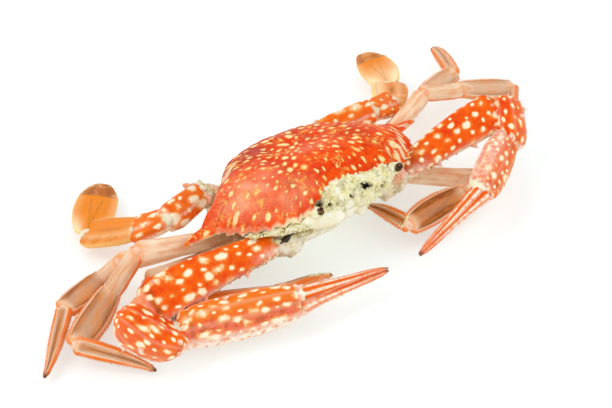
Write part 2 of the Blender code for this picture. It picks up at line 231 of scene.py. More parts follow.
def finish_piece(form, name, material, nodes, scalars=SCALARS):
    """Make the mesh, turn its faces outwards, and hang it on the crab in place of its nodes."""
    mesh = bpy.data.meshes.new(name)
    mesh.from_pydata((np.concatenate(form.points) * MM).tolist(), [], form.faces)
    present = {key for _, values in form.values for key in values}
    for key in scalars:
        if key in present:
            layer = mesh.attributes.new(key, "FLOAT", "POINT")
            layer.data.foreach_set("value", form.gathered(key, 1).astype(np.float32))
    if "grow" in present:
        layer = mesh.attributes.new("grow", "FLOAT_VECTOR", "POINT")
        layer.data.foreach_set("vector", form.gathered("grow", 3).astype(np.float32).ravel())
    shape = bmesh.new()
    shape.from_mesh(mesh)
    bmesh.ops.recalc_face_normals(shape, faces=shape.faces)
    shape.to_mesh(mesh)
    shape.free()
    mesh.shade_smooth()
    mesh.materials.append(material)
    piece = bpy.data.objects.new(name, mesh)
    bpy.context.scene.collection.objects.link(piece)
    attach(piece, "root")
    if nodes:
        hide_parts(*nodes)
    return piece


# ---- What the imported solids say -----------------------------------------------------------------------

def solid_points(node):
    """The corner points of a solid, in millimetres."""
    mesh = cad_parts[node].data
    flat = np.empty(len(mesh.vertices) * 3, np.float32)
    mesh.vertices.foreach_get("co", flat)
    return flat.reshape(-1, 3).astype(float) / MM


def flat_ends(node):
    """Flat faces of a solid with eight or more corners, as (middle, outward direction)."""
    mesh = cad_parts[node].data
    points = solid_points(node)
    mesh.calc_loop_triangles()
    corners = np.empty(len(mesh.loop_triangles) * 3, np.int32)
    mesh.loop_triangles.foreach_get("vertices", corners)
    corners = corners.reshape(-1, 3)
    a, b, c = (points[corners[:, k]] for k in range(3))
    normals = np.cross(b - a, c - a)
    areas = np.linalg.norm(normals, axis=1)
    whole = areas > 1e-6
    normals = normals[whole] / areas[whole, None]
    corners = corners[whole]
    depth = (normals * a[whole]).sum(1)
    found = []
    free = np.ones(len(corners), bool)
    for i in range(len(corners)):
        if free[i]:
            same = (normals @ normals[i] > 0.9998) & (abs(depth - depth[i]) < 0.03)
            free &= ~same
            ring = np.unique(np.round(points[corners[same].ravel()], 3), axis=0)
            outside = points @ normals[i] - depth[i]
            if len(ring) >= 8 and outside.max() < 0.05:
                found.append((ring.mean(0), normals[i]))
    return found


class BodyFrame:
    """Side, forward and up directions of the shell, from its spine tips and its flat floor."""

    def __init__(self):
        points = solid_points("shell")
        left = points[points[:, 0].argmax()]
        right = points[points[:, 0].argmin()]
        floor = min(flat_ends("shell"), key=lambda end: end[1][2])
        self.up = -floor[1]
        self.side = left - right
        self.side = unit(self.side - (self.side @ self.up) * self.up)
        self.forward = np.cross(self.side, self.up)
        middle = (left + right) / 2
        lift = 2.0 - (middle - floor[0]) @ self.up
        self.origin = middle + self.up * lift
        self.half_width = np.linalg.norm(left - right) / 2

    def place(self, side, forward, up):
        """Body measures to a place over the floor."""
        side, forward, up = np.broadcast_arrays(side, forward, up)
        return (self.origin + side[..., None] * self.side + forward[..., None] * self.forward
                + up[..., None] * self.up)


BODY = BodyFrame()
SIDES = {"L": 1.0, "R": -1.0}
LEGS = ("leg2", "leg3", "leg4")

# Where each coxa starts and ends on the body (side, forward, up), and the lengths of the four
# segments after it.  This table and the next repeat those of the solids.
LIMBS = {
    "claw": ((25.0, 15.5, -15.5), (37.0, 17.5, -10.0), (62.5, 15.0, 49.0, 42.5)),
    "leg2": ((27.0, 3.5, -15.5), (40.5, 3.4, -14.0), (43.0, 19.5, 35.5, 28.0)),
    "leg3": ((27.0, -5.0, -15.0), (40.5, -6.2, -11.3), (47.0, 24.5, 36.0, 32.0)),
    "leg4": ((25.5, -13.0, -15.0), (38.5, -15.0, -13.5), (48.0, 16.0, 27.0, 34.5)),
    "leg5": ((20.0, -25.5, -8.5), (35.5, -27.0, 1.0), (26.5, 19.5, 26.0, 35.0)),
}
NAMES = {"claw": ("merus", "carpus", "palm", "finger"),
         "leg5": ("merus", "carpus", "propodus", "paddle")}
# Heading, rise and twist of each segment in degrees, as the solids are posed.
POSES = {
    "R": {"claw": ((171, -2, -38), (-63, -33, -10), (-27, 1, 58), (-15, -3, 58)),
          "leg2": ((157, -6, -50), (-70, -7, -30), (-38, 1, -40), (-6, -14, -30)),
          "leg3": ((172, 17, -50), (121, -61, -60), (-153, 3, -22), (-58, -14, 48)),
          "leg4": ((168, 8, -45), (93, -52, -60), (-165, 7, -12), (-144, -9, 8)),
          "leg5": ((-164, 10, -40), (102, -36, -30), (108, -21, -10), (38, 1, 5))},
    "L": {"claw": ((-5, 4, -38), (-127, -28, -50), (-155, 6, 50), (-178, -12, 50)),
          "leg2": ((-40, -9, -50), (-160, 13, 20), (180, 4, 40), (81, -12, 45)),
          "leg3": ((5, 16, -38), (-6, -17, -45), (-11, -19, -35), (-140, 4, -20)),
          "leg4": ((1, 8.6, -38), (23, -4, -35), (8, -6, -25), (55, -9, 15)),
          "leg5": ((-25, 12, -40), (12, -18, -30), (43, -13, 0), (56, -3, 15))},
}


class Segment:
    """One posed limb segment: start, length, and its axis, broad and thin directions."""

    def __init__(self, node, start, length, pose, sign):
        heading, rise, twist = (math.radians(value) for value in pose)
        self.node, self.start, self.length = node, start, length
        self.axis = np.array((math.cos(heading) * math.cos(rise), math.sin(heading) * math.cos(rise),
                              math.sin(rise)))
        level = unit(sign * np.cross(self.axis, (0.0, 0.0, 1.0)))
        upright = np.cross(self.axis, level)
        upright = upright * (1.0 if upright[2] > 0 else -1.0)
        self.broad = level * math.cos(twist) + upright * math.sin(twist)
        self.thin = upright * math.cos(twist) - level * math.sin(twist)
        self.end = start + self.axis * length

    def at(self, along, broad=0.0, thin=0.0):
        """A place by share of the length and millimetres across."""
        return (self.start + self.axis * self.length * along + self.broad * broad
                + self.thin * thin)


def limb_segments(tag, limb):
    """The posed segments of a limb by name, with the two ends of its coxa."""
    sign = SIDES[tag]
    socket, hip, lengths = LIMBS[limb]
    socket, start = (BODY.place(np.array(sign * p[0]), p[1], p[2]) for p in (socket, hip))
    segments = {"coxa": (socket, start)}
    names = NAMES.get(limb, ("merus", "carpus", "propodus", "dactyl"))
    for name, length, pose in zip(names, lengths, POSES[tag][limb]):
        segments[name] = Segment(f"{limb}_{tag}_{name}", start, length, pose, sign)
        start = segments[name].end
    return segments


# ---- Finishes -----------------------------------------------------------------------------------------

def paint(red, green, blue):
    """A colour given as it looks on a screen, 0 to 255, in linear light."""
    return tuple((c / 255 / 12.92) if c <= 10 else ((c / 255 + 0.055) / 1.055) ** 2.4
                 for c in (red, green, blue))


class Wiring:
    """Short hand for putting nodes into a tree and wiring them."""

    def __init__(self, tree):
        self.tree = tree

    def set(self, socket, value):
        """A socket takes another socket's output or a constant."""
        if isinstance(value, bpy.types.NodeSocket):
            self.tree.links.new(value, socket)
        elif hasattr(value, "__len__") and socket.type == "RGBA" and len(value) == 3:
            socket.default_value = (*value, 1.0)
        else:
            socket.default_value = value

    def node(self, kind, inputs=(), **settings):
        """A node with its settings and inputs, given by name or number."""
        made = self.tree.nodes.new(kind)
        for key, value in settings.items():
            setattr(made, key, value)
        for key, value in dict(inputs).items():
            self.set(made.inputs[key], value)
        return made

    def math(self, operation, first, second=0.0, clamp=False):
        return self.node("ShaderNodeMath", {0: first, 1: second}, operation=operation,
                         use_clamp=clamp).outputs[0]

    def times(self, first, second):
        return self.math("MULTIPLY", first, second)

    def shift(self, operation, first, second):
        return self.node("ShaderNodeVectorMath", {0: first, 1: second},
                         operation=operation).outputs[0]

    def mix(self, share, first, second, blend="MIX"):
        made = self.tree.nodes.new("ShaderNodeMix")
        made.data_type = "RGBA"
        made.blend_type = blend
        self.set(made.inputs[0], share)
        self.set(made.inputs[6], first)
        self.set(made.inputs[7], second)
        return made.outputs[2]

    def ramp(self, value, low, high, out_low=0.0, out_high=1.0):
        return self.node("ShaderNodeMapRange", {0: value, 1: low, 2: high, 3: out_low, 4: out_high},
                         interpolation_type="SMOOTHSTEP").outputs[0]

    def noise(self, vector, scale, detail=3.0, rough=0.55):
        return self.node("ShaderNodeTexNoise", {"Vector": vector, "Scale": scale,
                                                "Detail": detail, "Roughness": rough})

    def attribute(self, name):
        return self.node("ShaderNodeAttribute", attribute_name=name)

    def value(self, name):
        return self.attribute(name).outputs["Fac"]


def new_group(name, inputs, outputs):
    """An empty shader group with named sockets, and its two ends."""
    tree = bpy.data.node_groups.new(name, "ShaderNodeTree")
    for label, kind, value in inputs:
        socket = tree.interface.new_socket(label, in_out="INPUT", socket_type=kind)
        if value is not None:
            socket.default_value = value
    for label, kind in outputs:
        tree.interface.new_socket(label, in_out="OUTPUT", socket_type=kind)
    return Wiring(tree), tree.nodes.new("NodeGroupInput"), tree.nodes.new("NodeGroupOutput")


def spot_group():
    """Cream spots with a ragged edge and a rim, from a field that is over 0 inside a spot."""
    if "cream_spots" in bpy.data.node_groups:
        return bpy.data.node_groups["cream_spots"]
    wires, start, end = new_group(
        "cream_spots",
        [("Field", "NodeSocketFloat", 0.0), ("Vector", "NodeSocketVector", None),
         ("Ragged", "NodeSocketFloat", 0.3)],
        [("Spot", "NodeSocketFloat"), ("Rim", "NodeSocketFloat"), ("Core", "NodeSocketFloat")])
    source = start.outputs
    wobble = wires.noise(source["Vector"], 700.0, 3.0)
    centred = wires.math("SUBTRACT", wobble.outputs["Fac"], 0.5)
    ragged = wires.math("ADD", source["Field"],
                        wires.times(centred, source["Ragged"]))
    wires.set(end.inputs["Spot"], wires.ramp(ragged, -0.06, 0.24))
    wires.set(end.inputs["Rim"], wires.ramp(ragged, -0.45, 0.0))
    wires.set(end.inputs["Core"], wires.ramp(ragged, 0.10, 0.42))
    return wires.tree


def grain_group():
    """Fine granules and soft unevenness, as a height and a tint."""
    if "shell_grain" in bpy.data.node_groups:
        return bpy.data.node_groups["shell_grain"]
    wires, start, end = new_group(
        "shell_grain",
        [("Vector", "NodeSocketVector", None), ("Scale", "NodeSocketFloat", 1400.0)],
        [("Height", "NodeSocketFloat"), ("Dots", "NodeSocketFloat"), ("Cloud", "NodeSocketFloat")])
    source = start.outputs
    cells = wires.node("ShaderNodeTexVoronoi", {"Vector": source["Vector"],
                                                "Scale": source["Scale"], "Randomness": 1.0})
    dots = wires.ramp(cells.outputs["Distance"], 0.5, 0.1)
    coarse = wires.noise(source["Vector"], wires.times(source["Scale"], 0.22), 4.0)
    cloud = wires.noise(source["Vector"], wires.times(source["Scale"], 0.07), 3.0)
    height = wires.math("ADD", wires.times(dots, 0.6),
                        wires.times(coarse.outputs["Fac"], 0.8))
    wires.set(end.inputs["Height"], height)
    wires.set(end.inputs["Dots"], dots)
    wires.set(end.inputs["Cloud"], cloud.outputs["Fac"])
    return wires.tree


class Finish:
    """A material with its Principled shader, the piece's own coordinates and shared groups."""

    def __init__(self, name, roughness, specular=0.5, coat=0.0, scatter=0.0, glow=(1, 1, 1)):
        self.material = bpy.data.materials.new(name)
        self.material.use_nodes = True
        self.wires = Wiring(self.material.node_tree)
        self.shader = self.material.node_tree.nodes["Principled BSDF"]
        self.shader.inputs["Roughness"].default_value = roughness
        self.shader.inputs["Specular IOR Level"].default_value = specular
        self.shader.inputs["Coat Weight"].default_value = coat
        self.shader.inputs["Coat Roughness"].default_value = 0.25
        if scatter:
            self.shader.inputs["Subsurface Weight"].default_value = scatter
            self.shader.inputs["Subsurface Radius"].default_value = glow
            self.shader.inputs["Subsurface Scale"].default_value = 0.0015
        self.place = self.wires.node("ShaderNodeTexCoord").outputs["Object"]
        self.grow = self.wires.attribute("grow").outputs["Vector"]

    def grain(self, scale):
        """The shared granules at this piece's own fineness."""
        made = self.wires.tree.nodes.new("ShaderNodeGroup")
        made.node_tree = grain_group()
        self.wires.set(made.inputs["Vector"], self.place)
        self.wires.set(made.inputs["Scale"], scale)
        return made.outputs

    def spots(self, ragged):
        """The shared spots, from the piece's own spot field."""
        made = self.wires.tree.nodes.new("ShaderNodeGroup")
        made.node_tree = spot_group()
        self.wires.set(made.inputs["Field"], self.wires.value("spot"))
        self.wires.set(made.inputs["Vector"], self.place)
        self.wires.set(made.inputs["Ragged"], ragged)
        return made.outputs

    def done(self, colour, height, strength, roughness=None, distance=0.0004):
        """Wire up colour, relief and gloss."""
        self.wires.set(self.shader.inputs["Base Color"], colour)
        bump = self.wires.node("ShaderNodeBump", {"Height": height, "Strength": strength,
                                                  "Distance": distance})
        self.wires.set(self.shader.inputs["Normal"], bump.outputs[0])
        if roughness is not None:
            self.wires.set(self.shader.inputs["Roughness"], roughness)
        return self.material


def once(name, make):
    """The material of that name, made the first time it is asked for."""
    return bpy.data.materials.get(name) or make()


def tint(name):
    """A colour from the crab's settings."""
    return tuple(getattr(bpy.context.scene.crab_colours, name))


def shell_finish():
    """Orange-red shell: cream ovals, pink granular cheeks, pale dots that are partly painted highlight, mauve
    rear.
    """
    finish = Finish("spotted_shell", 0.4, specular=0.05)
    wires = finish.wires
    grain = finish.grain(1500.0)
    spots = finish.spots(0.75)
    patch = wires.noise(finish.place, 90.0, 3.0).outputs["Fac"]
    colour = wires.mix(wires.ramp(patch, 0.38, 0.62), tint("orange"), paint(232, 48, 0))
    fine = wires.noise(finish.place, 620.0, 3.0).outputs["Fac"]
    colour = wires.mix(wires.ramp(fine, 0.50, 0.70, 0.0, 0.5), colour, paint(244, 112, 20))
    blotch = wires.noise(finish.place, 300.0, 4.0, 0.7).outputs["Fac"]
    colour = wires.mix(wires.ramp(blotch, 0.52, 0.62, 0.0, 0.75), colour, paint(210, 36, 4))
    rosy = wires.times(wires.value("pink"), wires.ramp(grain["Cloud"], 0.3, 0.6, 0.6, 1.0))
    rose = wires.mix(wires.ramp(grain["Cloud"], 0.35, 0.65), tint("rose"), paint(246, 180, 146))
    colour = wires.mix(rosy, colour, rose)
    # Pale granule dots, strongest on the pink cheeks: partly the granules' own colour, partly painted
    # highlight in place of gloss.
    dots = wires.times(grain["Dots"], wires.math("ADD", 0.10,
                      wires.times(wires.value("pink"), 0.65)))
    colour = wires.mix(dots, colour, paint(252, 196, 152))
    colour = wires.mix(wires.times(wires.value("dark"), 0.9), colour, tint("mauve"))
    scratch = wires.noise(finish.grow, 9.0, 4.0, 0.7).outputs["Fac"]
    marks = wires.times(wires.ramp(scratch, 0.56, 0.72), wires.value("stripe"))
    colour = wires.mix(marks, colour, paint(252, 205, 120))
    curl = wires.noise(finish.place, 330.0, 2.0).outputs["Fac"]
    curl = wires.math("ABSOLUTE", wires.math("SUBTRACT", curl, 0.5))
    where = wires.ramp(wires.noise(finish.place, 110.0, 2.0).outputs["Fac"], 0.48, 0.58)
    curl = wires.times(wires.ramp(curl, 0.035, 0.010), where)
    colour = wires.mix(wires.times(curl, 0.75), colour, paint(250, 190, 96))
    dash = wires.noise(wires.shift("MULTIPLY", finish.place, (1.0, 2.6, 1.0)), 420.0, 2.0)
    dash = wires.times(wires.ramp(dash.outputs["Fac"], 0.5, 0.62), wires.value("dark"))
    colour = wires.mix(wires.times(dash, 0.7), colour, paint(168, 40, 34))
    colour = wires.mix(wires.times(wires.value("crevice"), 0.85), colour,
                       paint(172, 42, 34))
    colour = wires.mix(wires.times(spots["Rim"], 0.18), colour, paint(244, 120, 26))
    colour = wires.mix(spots["Spot"], colour, paint(248, 176, 72))
    colour = wires.mix(wires.times(spots["Core"], 0.9), colour, tint("cream"))
    rim = wires.value("edge")
    colour = wires.mix(rim, colour, paint(250, 236, 192))
    colour = wires.mix(wires.value("tip"), colour, paint(238, 110, 20))
    pale_noise = wires.ramp(grain["Cloud"], 0.3, 0.7)
    under = wires.mix(pale_noise, paint(246, 236, 206), paint(222, 204, 150))
    colour = wires.mix(wires.value("pale"), colour, under)
    rough = wires.ramp(grain["Cloud"], 0.25, 0.75, 0.32, 0.52)
    return finish.done(colour, grain["Height"], 0.7, rough)


def claw_finish():
    """Orange claw shell with cream ovals, pink middles and white undersides."""
    finish = Finish("spotted_claw", 0.4, specular=0.06)
    wires = finish.wires
    grain = finish.grain(1300.0)
    spots = finish.spots(0.6)
    patch = wires.noise(finish.place, 120.0, 3.0).outputs["Fac"]
    colour = wires.mix(wires.ramp(patch, 0.35, 0.68), tint("claw_orange"), tint("deep_orange"))
    fine = wires.noise(finish.place, 620.0, 3.0).outputs["Fac"]
    colour = wires.mix(wires.ramp(fine, 0.5, 0.72, 0.0, 0.5), colour, paint(246, 128, 30))
    colour = wires.mix(wires.times(wires.value("knee"), 0.75), colour, paint(240, 124, 28))
    rosy = wires.times(wires.value("pink"), wires.ramp(grain["Cloud"], 0.3, 0.6, 0.55, 1.0))
    colour = wires.mix(rosy, colour, paint(232, 108, 68))
    flush = wires.ramp(wires.value("pink"), 0.65, 1.0, 0.0, 0.8)
    colour = wires.mix(flush, colour, paint(230, 104, 84))
    freckle = wires.times(grain["Dots"], wires.times(wires.value("pink"), 0.4))
    colour = wires.mix(freckle, colour, paint(255, 190, 150))
    colour = wires.mix(wires.times(wires.value("dark"), 0.8), colour, paint(120, 72, 40))
    fleck = wires.noise(finish.place, 430.0, 3.0).outputs["Fac"]
    fleck = wires.times(wires.ramp(fleck, 0.50, 0.60), wires.value("brown"))
    colour = wires.mix(fleck, colour, paint(188, 84, 52))
    colour = wires.mix(wires.times(spots["Rim"], 0.3), colour, paint(246, 140, 50))
    colour = wires.mix(spots["Spot"], colour, paint(246, 176, 96))
    colour = wires.mix(spots["Core"], colour, paint(251, 238, 208))
    lace = wires.noise(finish.grow, 5.0, 3.0, 0.6).outputs["Fac"]
    white = wires.mix(wires.ramp(lace, 0.50, 0.62), paint(251, 243, 226), paint(244, 170, 128))
    colour = wires.mix(wires.value("pale"), colour, white)
    colour = wires.mix(wires.times(wires.value("edge"), 0.8), colour, paint(252, 226, 196))
    streak = wires.times(wires.value("stripe"), wires.ramp(patch, 0.3, 0.7, 0.6, 1.0))
    colour = wires.mix(streak, colour, paint(238, 82, 12))
    colour = wires.mix(wires.times(wires.value("thorn"), 0.9), colour,
                       paint(255, 246, 232))
    colour = wires.mix(wires.value("tip"), colour, paint(120, 72, 60))
    rough = wires.ramp(grain["Cloud"], 0.25, 0.75, 0.32, 0.5)
    return finish.done(colour, grain["Height"], 0.5, rough)


def leg_finish():
    """Smooth pinkish cream leg shell with lengthwise streaks, brown faces and orange edges."""
    finish = Finish("leg_shell_looks", 0.42, specular=0.12, scatter=0.05, glow=(1.0, 0.5, 0.3))
    wires = finish.wires
    grain = finish.grain(1500.0)
    lengthwise = wires.shift("MULTIPLY", finish.grow, (0.45, 2.4, 2.4))
    soft = wires.noise(lengthwise, 1.9, 3.0, 0.5).outputs["Fac"]
    veil = wires.noise(finish.grow, 0.9, 3.0, 0.5).outputs["Fac"]
    colour = wires.mix(wires.ramp(soft, 0.36, 0.68), tint("leg_pale"), tint("leg_pink"))
    colour = wires.mix(wires.times(wires.ramp(veil, 0.48, 0.7), 0.6), colour,
                       paint(253, 234, 206))
    brown = wires.mix(wires.ramp(soft, 0.3, 0.7), tint("leg_brown"), paint(212, 132, 66))
    colour = wires.mix(wires.value("brown"), colour, brown)
    speck = wires.times(wires.times(grain["Dots"], 0.3), wires.value("brown"))
    colour = wires.mix(speck, colour, paint(126, 70, 36))
    line = wires.times(wires.value("dark"), 0.85)
    colour = wires.mix(line, colour, paint(128, 62, 22))
    edges = wires.times(wires.value("edge"), wires.ramp(veil, 0.3, 0.6, 0.7, 1.0))
    colour = wires.mix(edges, colour, tint("leg_orange"))
    colour = wires.mix(wires.times(wires.value("knee"), 0.6), colour,
                       paint(240, 150, 80))
    colour = wires.mix(wires.value("pale"), colour, paint(250, 232, 200))
    colour = wires.mix(wires.value("tip"), colour, paint(112, 56, 34))
    rough = wires.ramp(grain["Cloud"], 0.25, 0.75, 0.34, 0.52)
    return finish.done(colour, grain["Height"], 0.3, rough)


def paddle_finish():
    """Thin amber shell, see-through in the middle, with a cream rim and brown speckles."""
    finish = Finish("amber_paddle", 0.36, specular=0.12, scatter=0.08, glow=(1.0, 0.5, 0.15))
    wires = finish.wires
    grain = finish.grain(1200.0)
    soft = wires.noise(finish.grow, 1.4, 4.0, 0.6).outputs["Fac"]
    colour = wires.mix(wires.ramp(soft, 0.35, 0.68), tint("amber"), paint(236, 136, 40))
    colour = wires.mix(wires.value("pale"), colour, paint(252, 222, 172))
    colour = wires.mix(wires.value("brown"), colour,
                       wires.mix(wires.ramp(soft, 0.4, 0.6), paint(178, 98, 44), paint(234, 182, 126)))
    colour = wires.mix(wires.times(wires.value("dark"), 0.75), colour, paint(128, 74, 34))
    colour = wires.mix(wires.value("edge"), colour, tint("rim_yellow"))
    rough = wires.ramp(grain["Cloud"], 0.25, 0.75, 0.3, 0.45)
    return finish.done(colour, grain["Height"], 0.15, rough)


def cream_finish():
    """Cream-white underside shell and joint skin with olive and tan stains, olive painted shade in grooves,
    gaps and undersides, and dark brown painted shade in a hollow.
    """
    finish = Finish("cream_shell", 0.45, specular=0.2, scatter=0.1, glow=(1.0, 0.85, 0.6))
    wires = finish.wires
    grain = finish.grain(900.0)
    soft = wires.noise(finish.place, 160.0, 4.0, 0.6).outputs["Fac"]
    colour = wires.mix(wires.ramp(soft, 0.36, 0.7), paint(252, 249, 234), paint(240, 231, 190))
    # Olive from the crevice value: stains, and painted shade on the coxa's underside and in the body's
    # grooves and gaps.
    colour = wires.mix(wires.times(wires.value("crevice"), 0.8), colour,
                       paint(170, 152, 78))
    crease = wires.noise(finish.place, 330.0, 4.0, 0.7).outputs["Fac"]
    crease = wires.ramp(wires.math("ABSOLUTE", wires.math("SUBTRACT", crease, 0.5)), 0.09, 0.0)
    patchy = wires.ramp(wires.noise(finish.place, 150.0, 2.0).outputs["Fac"], 0.42, 0.62)
    crease = wires.times(wires.times(crease, patchy), wires.value("brown"))
    colour = wires.mix(crease, colour, paint(176, 156, 74))
    colour = wires.mix(wires.value("pink"), colour, paint(250, 190, 150))
    colour = wires.mix(wires.value("knee"), colour, tint("claw_orange"))
    # Dark brown from the dark value: painted shade of the hollow under the right margin.
    colour = wires.mix(wires.value("dark"), colour, paint(78, 58, 26))
    return finish.done(colour, grain["Height"], 0.5)


def curd_finish():
    """Crumbly cream-yellow curd, darker and greener in its cracks, partly as painted shade, and near-black
    painted shade in its hollows.
    """
    finish = Finish("crab_curd", 0.7, specular=0.25, scatter=0.15, glow=(1.0, 0.9, 0.5))
    wires = finish.wires
    grain = finish.grain(1800.0)
    soft = wires.noise(finish.place, 260.0, 4.0, 0.65).outputs["Fac"]
    colour = wires.mix(wires.ramp(soft, 0.35, 0.66), paint(252, 249, 222), paint(238, 228, 164))
    fleck = wires.noise(finish.place, 620.0, 2.0).outputs["Fac"]
    colour = wires.mix(wires.times(wires.ramp(fleck, 0.62, 0.70), 0.75), colour,
                       paint(150, 126, 60))
    # Olive from the crevice value: the curd's own colour, deepened as painted shade in the gaps between
    # lumps.
    colour = wires.mix(wires.times(wires.value("crevice"), 0.9), colour,
                       paint(158, 136, 56))
    # Near-black from the dark value: painted shade in the face's hollows and under the right margin.
    colour = wires.mix(wires.value("dark"), colour, paint(34, 20, 12))
    return finish.done(colour, grain["Height"], 0.55)


def eye_finish():
    """Dull dark brown eye with lighter mottling."""
    finish = Finish("dull_eye", 0.55, specular=0.2)
    wires = finish.wires
    grain = finish.grain(1500.0)
    soft = wires.noise(finish.place, 900.0, 3.0).outputs["Fac"]
    colour = wires.mix(wires.ramp(soft, 0.46, 0.62), paint(38, 22, 14), paint(150, 112, 70))
    return finish.done(colour, grain["Height"], 0.9)


def tooth_finish():
    """Chalky white tooth with a warm stain."""
    finish = Finish("ivory_tooth", 0.4)
    wires = finish.wires
    grain = finish.grain(1500.0)
    colour = wires.mix(grain["Cloud"], paint(255, 250, 238), paint(248, 206, 170))
    return finish.done(colour, grain["Height"], 0.2)


def hair_finish():
    """Tan to golden bristle."""
    finish = Finish("golden_bristle", 0.6)
    wires = finish.wires
    soft = wires.noise(finish.place, 300.0, 2.0)
    colour = wires.mix(soft.outputs["Fac"], tint("bristle"), paint(246, 196, 128))
    return finish.done(colour, soft.outputs["Fac"], 0.1)


# ---- Spots and tubes --------------------------------------------------------------------------------

def spot_field(points, along, seed, spacing, sizes, stretch, weight=None, faint=0.3):
    """Over 0 inside scattered ovals that lie along the given directions, up to 1 in their middles."""
    rng = np.random.default_rng(seed)
    stretch = np.broadcast_to(stretch, len(points))
    warp = np.stack([crumble(points, 3.0, seed + 70 + k, 2) for k in range(3)], -1)
    points = points + 0.55 * warp
    order = rng.permutation(len(points))[:6000]
    kept = []
    for i in order:
        if weight is None or weight[i] > rng.random():
            if kept:
                gap = points[kept] - points[i]
                lengthwise = gap @ along[i]
                apart = (gap * gap).sum(1) + lengthwise ** 2 * (stretch[i] ** -2 - 1.0)
                if apart.min() < (spacing * (0.75 + 0.5 * rng.random())) ** 2:
                    continue
            kept.append(i)
    field = np.full(len(points), -1.0)
    for i in kept:
        size = sizes[0] + (sizes[1] - sizes[0]) * rng.random() ** 1.5
        strength = min(1.0, faint + (1.15 - faint) * rng.random())
        pull = stretch[i] * (0.7 + 0.6 * rng.random())
        gap = points - points[i]
        lengthwise = gap @ along[i]
        apart = np.sqrt(np.maximum((gap * gap).sum(1) + lengthwise ** 2 * (pull ** -2 - 1.0), 0))
        field = np.maximum(field, strength * np.maximum(1.0 - apart / size, -1.0))
    return field


def tube(form, start, axis, length, broad, thin, stations, power=0.85, rows=84, columns=56,
         caps=(0.05, 0.05), relief=None, shade=None, seed=0, bow=0.0, spots=None):
    """A limb segment: stations are (place, breadth, thickness, shift broad, shift thin)."""
    step = np.linspace(0.0, 1.0, rows)
    u = 0.5 * step + 0.25 * (1.0 - np.cos(math.pi * step))
    table = np.array(stations, float)
    breadth, thickness, off_broad, off_thin = (curve_through(table[:, 0], table[:, k], u)
                                               for k in range(1, 5))
    closing = np.sqrt(1.0 - (1.0 - np.clip(u / caps[0], 0, 1)) ** 2)
    closing = closing * np.sqrt(1.0 - (1.0 - np.clip((1.0 - u) / caps[1], 0, 1)) ** 2)
    closing = np.maximum(closing, 0.03)
    turn = full_turn(columns)
    wide = np.sign(np.cos(turn)) * abs(np.cos(turn)) ** power
    high = np.sign(np.sin(turn)) * abs(np.sin(turn)) ** power
    along = np.repeat(u[:, None], columns, 1)
    across = np.repeat(wide[None], rows, 0)
    top = np.repeat(high[None], rows, 0)
    half_broad = (breadth / 2 * closing)[:, None]
    half_thin = (thickness / 2 * closing)[:, None]
    middle = (start + axis * (length * u)[:, None] + broad * off_broad[:, None]
              + thin * (off_thin + bow * np.sin(math.pi * u))[:, None])
    points = (middle[:, None] + (half_broad * across)[..., None] * broad
              + (half_thin * top)[..., None] * thin)
    out = ((across / half_broad)[..., None] * broad + (top / half_thin)[..., None] * thin)
    out = out / np.linalg.norm(out, axis=-1, keepdims=True)
    if relief is not None:
        points = points + out * (relief(along, across, top, points) * closing[:, None])[..., None]
    grow = np.stack([along * length / GROW_STEP + 3.1 * seed, half_broad * across / GROW_STEP,
                     half_thin * top / GROW_STEP + 1.7 * seed], -1)
    values = shade(along, across, top) if shade else {}
    if spots:
        flat = points.reshape(-1, 3)
        aim = np.repeat(np.asarray(axis)[None], len(flat), 0)
        spots = dict(spots)
        calm = spots.pop("calm", None)
        weight = None if calm is None else 1.0 - calm(along, across, top).ravel()
        values["spot"] = spot_field(flat, aim, seed, weight=weight, **spots).reshape(rows, columns)
    loft(form, points, grow=grow, **values)
    return points, out


def blob(form, middle, axes, sizes, rough, seed, rows=26, columns=36, **values):
    """A crumpled rounded lump."""
    polar = np.linspace(0.04, math.pi - 0.04, rows)[:, None]
    turn = full_turn(columns)[None]
    ball = np.stack([np.cos(polar) + 0 * turn, np.sin(polar) * np.cos(turn),
                     np.sin(polar) * np.sin(turn)], -1)
    points = middle + (ball * np.asarray(sizes)) @ np.asarray(axes)
    push = 1.0 + rough * crumble(points, 2.6, seed)[..., None]
    points = middle + (points - middle) * push
    loft(form, points, grow=points / GROW_STEP, **values)


# ---- Rows and crumbs grown by node trees ------------------------------------------------------------

def new_tree(name, inputs):
    """An empty geometry tree with named inputs, and its two ends."""
    tree = bpy.data.node_groups.new(name, "GeometryNodeTree")
    tree.interface.new_socket("Geometry", in_out="INPUT", socket_type="NodeSocketGeometry")
    for label, kind in inputs:
        tree.interface.new_socket(label, in_out="INPUT", socket_type=kind)
    tree.interface.new_socket("Geometry", in_out="OUTPUT", socket_type="NodeSocketGeometry")
    return Wiring(tree), tree.nodes.new("NodeGroupInput").outputs, tree.nodes.new("NodeGroupOutput")


